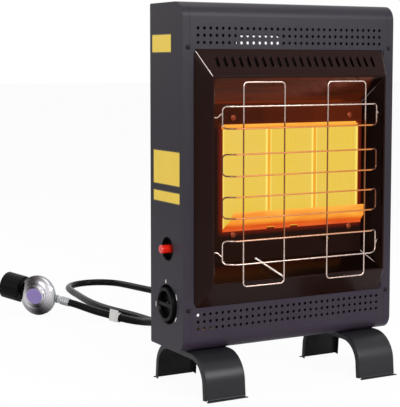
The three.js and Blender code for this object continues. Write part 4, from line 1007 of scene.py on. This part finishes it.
# Painted shade: the lower wall is painted darker, and a painted reflection of the glow keeps its
# left part lighter.
lower = 1 - reflector.ramp(z, *span("z", 150, 200))
skin = reflector.mix(lower, skin, reflector.mix(rightward, tone(44, 30, 24), tone(24, 14, 10)))
# Painted glow on the upper wall stands for the plaques' light on it. On the right wall this glow
# is painted dark as shade.
glow = reflector.mix((warm * upper).within(), tone(10, 4, 2), tone(58, 17, 4))
glow = reflector.mix(painted_shade_right_wall, glow, tone(6, 2, 1))
ripple = reflector.bump(reflector.noise(25.0, 1.0), 0.0006, strength=0.3)
reflector.feed(Base_Color=skin, Emission_Color=glow, Roughness=0.15 + (streak - 0.5) * 0.12,
               Normal=ripple)
reflector_steel = reflector.material

# %% Burner plate: dark above and below, glowing between the plaques
plate = Finish("heat_tinted_burner_steel", Metallic=0.7, Emission_Strength=1.0,
               Specular_IOR_Level=0.05)
x, y, z = plate.axes()
near = near_windows(plate, x, z, HEAT_REACH)
above = plate.ramp(z, *span("z", 376, 384))
rightward = plate.ramp(x, *span("x", 90, 300))
streak = plate.noise(40.0, 2.0, (1, 1, 0.4))
upper_tone = plate.mix((rightward * 0.8 + (streak - 0.5) * 0.6).within(), tone(42, 14, 6),
                       tone(66, 22, 7))
skin = plate.mix(above, tone(26, 12, 8), upper_tone)
glow = plate.mix(above, tone(8, 3, 2), plate.mix(rightward, tone(24, 7, 2), tone(52, 13, 2)))
halo = near_windows(plate, x, z, 0.012)
glow = plate.mix(halo * 0.8, glow, tone(130, 30, 6))
glow = plate.mix(near, glow, plate.mix(streak, tone(238, 150, 34), tone(246, 190, 60)))
plate.feed(Base_Color=skin, Emission_Color=glow, Roughness=0.4 + (streak - 0.5) * 0.2,
           Normal=plate.bump(streak, 0.0003, plate.rounded(EDGE_RADIUS)))
burner_steel = plate.material

# %% Burner screws: rivet heads that heat has turned orange brown
rivet = Finish("heat_tinted_screws", Metallic=0.6, Roughness=0.35, Emission_Strength=1.0,
               Specular_IOR_Level=0.2)
patch = rivet.noise(300.0, 2.0)
rivet.feed(Base_Color=rivet.mix(patch, tone(130, 56, 30), tone(90, 34, 18)),
           Emission_Color=rivet.mix(patch, tone(60, 20, 8), tone(36, 11, 4)),
           Normal=rivet.bump(patch, 0.0001))
screw_steel = rivet.material

# %% Glowing strips: paler toward the plaques, redder below
strip = Finish("glowing_orange_strip", Metallic=0.0, Roughness=0.5, Emission_Strength=1.0,
               Specular_IOR_Level=0.15)
x, y, z = strip.axes()
blotch = strip.noise(50.0, 3.0, (0.25, 1, 1))
rail_up = strip.ramp(z, *span("z", 210, 218))
lip_up = strip.ramp(z, *span("z", 376, 381))
is_lip = strip.ramp(z, *span("z", 300, 301))
band = strip.ramp(z, *span("z", 229, 234))
blotch = (blotch * 2.2 - 0.6 + band * 0.5).within()
pale = strip.mix(blotch, tone(240, 126, 26), tone(255, 178, 60))
red = strip.mix(blotch, tone(206, 66, 14), tone(240, 108, 26))
heat = strip.mix(is_lip, rail_up, lip_up)
strip.feed(Base_Color=strip.mix(blotch, tone(34, 12, 5), tone(24, 8, 3)),
           Emission_Color=strip.mix(heat, red, pale), Normal=strip.rounded(EDGE_RADIUS))
glowing_strip = strip.material

# %% Glowing plaques with their pierced grid and paler sides
HOLE_PITCH = 0.0033
plaque = Finish("glowing_pierced_ceramic", Roughness=0.9, Emission_Strength=1.0)
x, y, z = plaque.axes()
turn = 2 * math.pi / HOLE_PITCH
grid = (x * turn).wave() * (z * turn).wave()
cloud = plaque.noise(14.0, 2.0, (1, 1, 0.5))
along = x.math("MODULO", x - WINDOW_LEFT, WINDOW_PITCH)
left_side = 1 - plaque.ramp(along, 0.001, 0.004)
right_side = plaque.ramp(along, WINDOW_WIDTH - 0.005, WINDOW_WIDTH - 0.002)
sides = (left_side + right_side).within()
glow = plaque.mix((cloud * 1.8 - 0.4).within(), tone(234, 204, 40), tone(232, 206, 84))
glow = plaque.mix((1 - grid) * 0.5, glow, tone(206, 156, 50))
glow = plaque.mix(sides * 0.75, glow, tone(252, 236, 120))
plaque.feed(Base_Color=tone(60, 48, 24), Emission_Color=glow,
            Normal=plaque.bump(grid, 0.0005, strength=0.6))
glowing_plaque = plaque.material
print("hot finishes made")

# %% [markdown]
# ## Bare metals
# Chrome wire, zinc-plated steel and brass are metals: their colour is the colour of what they
# mirror. Fine scratches in the roughness and a little unevenness keep them from looking like
# computer metal. The guard's wires are tinted by heat where they cross the burner, and there they
# carry a painted orange glow for the plaques' light, brighter on the cross wires. The cover was
# spun on a lathe, and its round grooves are too fine to model. They show as light and dark rays of
# reflection, so the rays are painted into its colour instead, as painted highlights and painted
# dark reflections, from the angle round the cover's middle.


# %% Metals
def metal(name, first, second, roughness):
    """A metal with soft changes of colour and fine lengthwise scratches."""
    finish = Finish(name, Metallic=1.0)
    cloud = finish.noise(40.0, 3.0)
    lines = finish.noise(140.0, 2.0, (1, 6, 1))
    normal = finish.bump(lines, 0.00003, finish.rounded(EDGE_RADIUS / 2))
    return finish.feed(Base_Color=finish.mix(cloud, first, second),
                       Roughness=roughness + (lines - 0.5) * 0.16, Normal=normal).material


zinc = metal("zinc_plated_steel", tone(186, 188, 190), tone(150, 152, 156), 0.34)
brass = metal("plain_brass", tone(128, 98, 50), tone(92, 68, 32), 0.38)

# %% Spun chrome: painted light and dark reflection rays run out from the middle of the cover
chrome = Finish("spun_chrome_cover_painted_reflections", Metallic=1.0)
width, height = (chrome.along(Vector(FACING.col[i]), REGULATOR) for i in (0, 1))
angle = height.math("ARCTAN2", height, width)
fine = chrome.noise(260.0, 2.0)
# Painted reflections: the light rays are painted highlights and the dark rays are painted dark
# reflections.
painted_reflection_rays = ((angle * 2 + 0.6).wave() * 1.1 + (fine - 0.5) * 0.3).within()
chrome.feed(Base_Color=chrome.mix(painted_reflection_rays, tone(58, 53, 55), tone(214, 211, 216)),
            Roughness=0.13 + fine * 0.06, Normal=chrome.bump(fine, 0.00002))
chrome_with_painted_reflections = chrome.material

# %% Guard wire, with heat tint and a painted orange glow before the burner
wire = Finish("chromed_guard_wire", Metallic=1.0, Emission_Strength=1.0)
x, y, z = wire.axes()
near = (near_windows(wire, x, z, 0.045, 0.016) * 2.5).within()
upright_face = UPRIGHT_FRONT - WIRE_RADIUS
across = 1 - wire.ramp(y, *span("y", upright_face, upright_face + 0.2))
patch = wire.noise(60.0, 2.0)
skin = wire.mix(patch, tone(208, 190, 182), tone(170, 146, 136))
skin = wire.mix(near * 0.9, skin, wire.mix(patch, tone(98, 56, 28), tone(76, 40, 20)))
# Painted glow: this emission near the burner stands for the plaques' light on the wires. It is
# brighter on the cross wires than on the uprights.
glow = wire.mix(across, tone(48, 18, 5), wire.mix(patch, tone(160, 86, 24), tone(206, 126, 50)))
wire.feed(Base_Color=skin, Emission_Color=wire.mix(near, tone(0, 0, 0), glow),
          Roughness=0.24 + (patch - 0.5) * 0.2,
          Normal=wire.bump(wire.noise(500.0, 1.0), 0.00002))
chrome_wire = wire.material

# %% [markdown]
# ## Plastics, rubber, film and fibre
# The knob and cups are moulded plastic with a fine grain, the button is glossy red, the hose is
# satin rubber that picks up a little dust, and the tag is thin white film. A grain finer than a
# tenth of a millimetre can't be modelled, so it is a bump that only bends the light.


# %% Moulded and soft materials
def moulded(name, first, second, roughness, grain_scale, grain_height, **constants):
    """Plastic or rubber: a slow change of tone and a fine grain."""
    finish = Finish(name, Metallic=0.0, **constants)
    cloud = finish.noise(30.0, 2.0)
    grain = finish.noise(grain_scale, 2.0)
    normal = finish.bump(grain, grain_height, finish.rounded(EDGE_RADIUS / 2))
    return finish.feed(Base_Color=finish.mix((cloud * 0.7 + grain * 0.3).within(), first, second),
                       Roughness=roughness + (grain - 0.5) * 0.15, Normal=normal).material


black_plastic = moulded("black_moulded_plastic", tone(5, 5, 6), tone(13, 13, 15), 0.3,
                        900.0, 0.00004, Specular_IOR_Level=0.08)
well_plastic = moulded("dark_well_plastic", tone(5, 4, 5), tone(10, 9, 11), 0.5,
                       900.0, 0.00003, Specular_IOR_Level=0.12)
red_plastic = moulded("red_gloss_plastic", tone(206, 22, 12), tone(228, 40, 24), 0.22,
                      300.0, 0.00001, Coat_Weight=0.4, Coat_Roughness=0.1)
hose_rubber = moulded("black_hose_rubber", tone(9, 8, 10), tone(18, 17, 20), 0.2,
                      420.0, 0.00004, Specular_IOR_Level=0.08)
white_film = moulded("white_tag_film", tone(244, 243, 240), tone(232, 230, 226), 0.4,
                     200.0, 0.00003)
fibre_felt = moulded("pressed_fibre", tone(214, 204, 182), tone(180, 168, 144), 0.95,
                     700.0, 0.0003)
white_ink = moulded("white_marking_ink", tone(216, 212, 210), tone(190, 186, 184), 0.6,
                    500.0, 0.00001)
# The electrode is painted near white: a painted highlight along the rod.
electrode_finish = moulded("electrode_painted_highlight", tone(250, 244, 238), tone(226, 214, 204), 0.2,
                           300.0, 0.00002, Specular_IOR_Level=0.8)
lilac_film = moulded("lilac_sticker_film", tone(152, 132, 190), tone(128, 108, 170), 0.3,
                     150.0, 0.00002)

# %% Label film: yellow inside a thin dark border, measured from each label's own edges
BORDER = 0.0016
BORDER_END = BORDER * 1.2


def past_border(finish, value, start, end):
    """0 on the border at two opposite edges and 1 between them."""
    return (finish.ramp(value, start + BORDER, start + BORDER_END)
            * (1 - finish.ramp(value, end - BORDER_END, end - BORDER)))


def label_film(name, front, back, low, high):
    """Yellow film with a dark border just inside the label's edges."""
    finish = Finish(name, Metallic=0.0, Roughness=0.35)
    x, y, z = finish.axes()
    inside = (past_border(finish, y, *span("y", front, back))
              * past_border(finish, z, *span("z", low, high)))
    yellow = finish.mix(finish.noise(30.0, 2.0), tone(242, 208, 70), tone(232, 196, 58))
    return finish.feed(Base_Color=finish.mix(inside, tone(64, 54, 30), yellow),
                       Normal=finish.bump(finish.noise(200.0, 1.0), 0.00003)).material


label_finishes = [label_film(name + "_film", *sizes) for name, *sizes in LABELS]
print(len(bpy.data.materials), "materials")

# %% [markdown]
# ## One finish for each piece
# On the real heater a part is painted or plated before it is put together, so each piece has one
# finish all over. They could be given one by one, but the record already names a material slot for
# every node. So one table from slots to finishes dresses them all, the hidden ones too, and a
# second one has the few that differ from their slot.

# %% Give every piece its finish
FINISH_OF_SLOT = {
    "charcoal_paint": charcoal_coat, "bezel_enamel": bezel_enamel, "black_paint": black_coat,
    "dark_steel": burner_steel, "glowing_steel": glowing_strip,
    "glowing_ceramic": glowing_plaque, "chrome_wire": chrome_wire, "zinc_plate": zinc,
    "brass": brass, "black_plastic": black_plastic, "red_plastic": red_plastic,
    "black_rubber": hose_rubber, "white_film": white_film, "fibre": fibre_felt,
}
FINISH_OF_NODE = {"reflector": reflector_steel, "regulator_cover": chrome_with_painted_reflections,
                  "spark_electrode": electrode_finish, "knob_well": well_plastic,
                  "igniter_cup": well_plastic}
FINISH_OF_NODE |= dict.fromkeys(BURNER_SCREWS, screw_steel)
FINISH_OF_NODE |= dict.fromkeys(CASE_SCREWS, blackened_steel)


def dress(piece, finish):
    """Makes a finish the only material of a piece."""
    piece.data.materials.clear()
    piece.data.materials.append(finish)


for name, piece in nodes.items():
    look = FINISH_OF_NODE.get(name, FINISH_OF_SLOT[SLOT_OF_NODE[name]])
    dress(piece, look)
    if name in finished:
        dress(finished[name], look)
DRESSED = [(hose, hose_rubber), (guard, chrome_wire), (cover, chrome_with_painted_reflections), (ferrule, zinc),
           (sticker, lilac_film), (bezel_seams, seam_enamel), (reflector_seams, seam_steel)]
DRESSED += list(zip(labels, label_finishes)) + [(mark, white_ink) for mark in marks]
for piece, look in DRESSED:
    dress(piece, look)

# %% [markdown]
# ## The hose and its regulator
# On the real heater the regulator hangs on the hose and goes where the hose goes.

# %% [markdown]
# ## Floor, backdrop and light
# A plain pale floor and a white world give the clean background of a product photograph. The
# camera sees the world as white, and so do chrome and every gloss, because they would mirror a
# dark room otherwise. What else lights the heater is the lamps and the same world, held weaker.

# %% Floor
FLOOR_SIZE = 60.0
FLOOR_DROP = 0.0002
FLOOR_SHARE = 0.95
WHITE = (1, 1, 1, 1)
bpy.ops.mesh.primitive_plane_add(size=FLOOR_SIZE, location=(0, 0, -FLOOR_DROP))
floor = bpy.context.active_object
floor.name = "pale_floor"
ground = Finish("pale_floor_paint", Base_Color=tone(240, 240, 240), Roughness=0.8,
                Specular_IOR_Level=0.2)
seen = ground.node("ShaderNodeLightPath", output="Is Camera Ray")
plain = ground.node("ShaderNodeEmission", sockets={"Color": WHITE, "Strength": 1.0})
own = Value(ground, ground.shader.outputs[0])
blend = ground.node("ShaderNodeMixShader",
                    sockets={0: seen * FLOOR_SHARE, 1: own, 2: plain})
ground.give(ground.tree.nodes["Material Output"].inputs[0], blend)
dress(floor, ground.material)
print("floor", FLOOR_SIZE, "m wide")

# %% World: white where it is seen or mirrored, weaker as light
FILL = 0.38
world = bpy.data.worlds.new("white_studio")
scene.world = world
world.use_nodes = True
sky = world.node_tree
path = sky.nodes.new("ShaderNodeLightPath")
background = sky.nodes["Background"]
background.inputs["Color"].default_value = WHITE
reach = sky.nodes.new("ShaderNodeMapRange")
reach.inputs["To Min"].default_value = FILL
seen_by = path.outputs["Is Camera Ray"]
for kind in ("Is Glossy Ray", "Is Transmission Ray"):
    both = sky.nodes.new("ShaderNodeMath")
    both.operation = "MAXIMUM"
    sky.links.new(seen_by, both.inputs[0])
    sky.links.new(path.outputs[kind], both.inputs[1])
    seen_by = both.outputs[0]
sky.links.new(seen_by, reach.inputs["Value"])
sky.links.new(reach.outputs[0], background.inputs["Strength"])
print("fill", FILL)

# %% Lamps
LAMPS = [
    ("key_softbox", (-0.7, -2.9, 1.8), 1.2, 62.0),
    ("right_softbox", (1.1, -2.3, 1.4), 0.9, 36.0),
    ("left_softbox", (-2.8, -0.5, 1.4), 1.4, 14.0),
    ("top_softbox", (0.2, 0.2, 2.8), 1.6, 18.0),
    ("back_softbox", (-0.8, 2.6, 1.8), 1.2, 12.0),
]
TARGET = Vector((0, 0, 0.3))


def add_lamp(name, where, size, power):
    """A square soft lamp that faces the heater."""
    lamp = bpy.data.lights.new(name, "AREA")
    lamp.size = size
    lamp.energy = power
    holder = bpy.data.objects.new(name, lamp)
    holder.location = where
    holder.rotation_euler = (TARGET - Vector(where)).to_track_quat("-Z", "Y").to_euler()
    scene.collection.objects.link(holder)


for facts in LAMPS:
    add_lamp(*facts)
scene.view_settings.view_transform = "Standard"
print(len(LAMPS), "lamps")
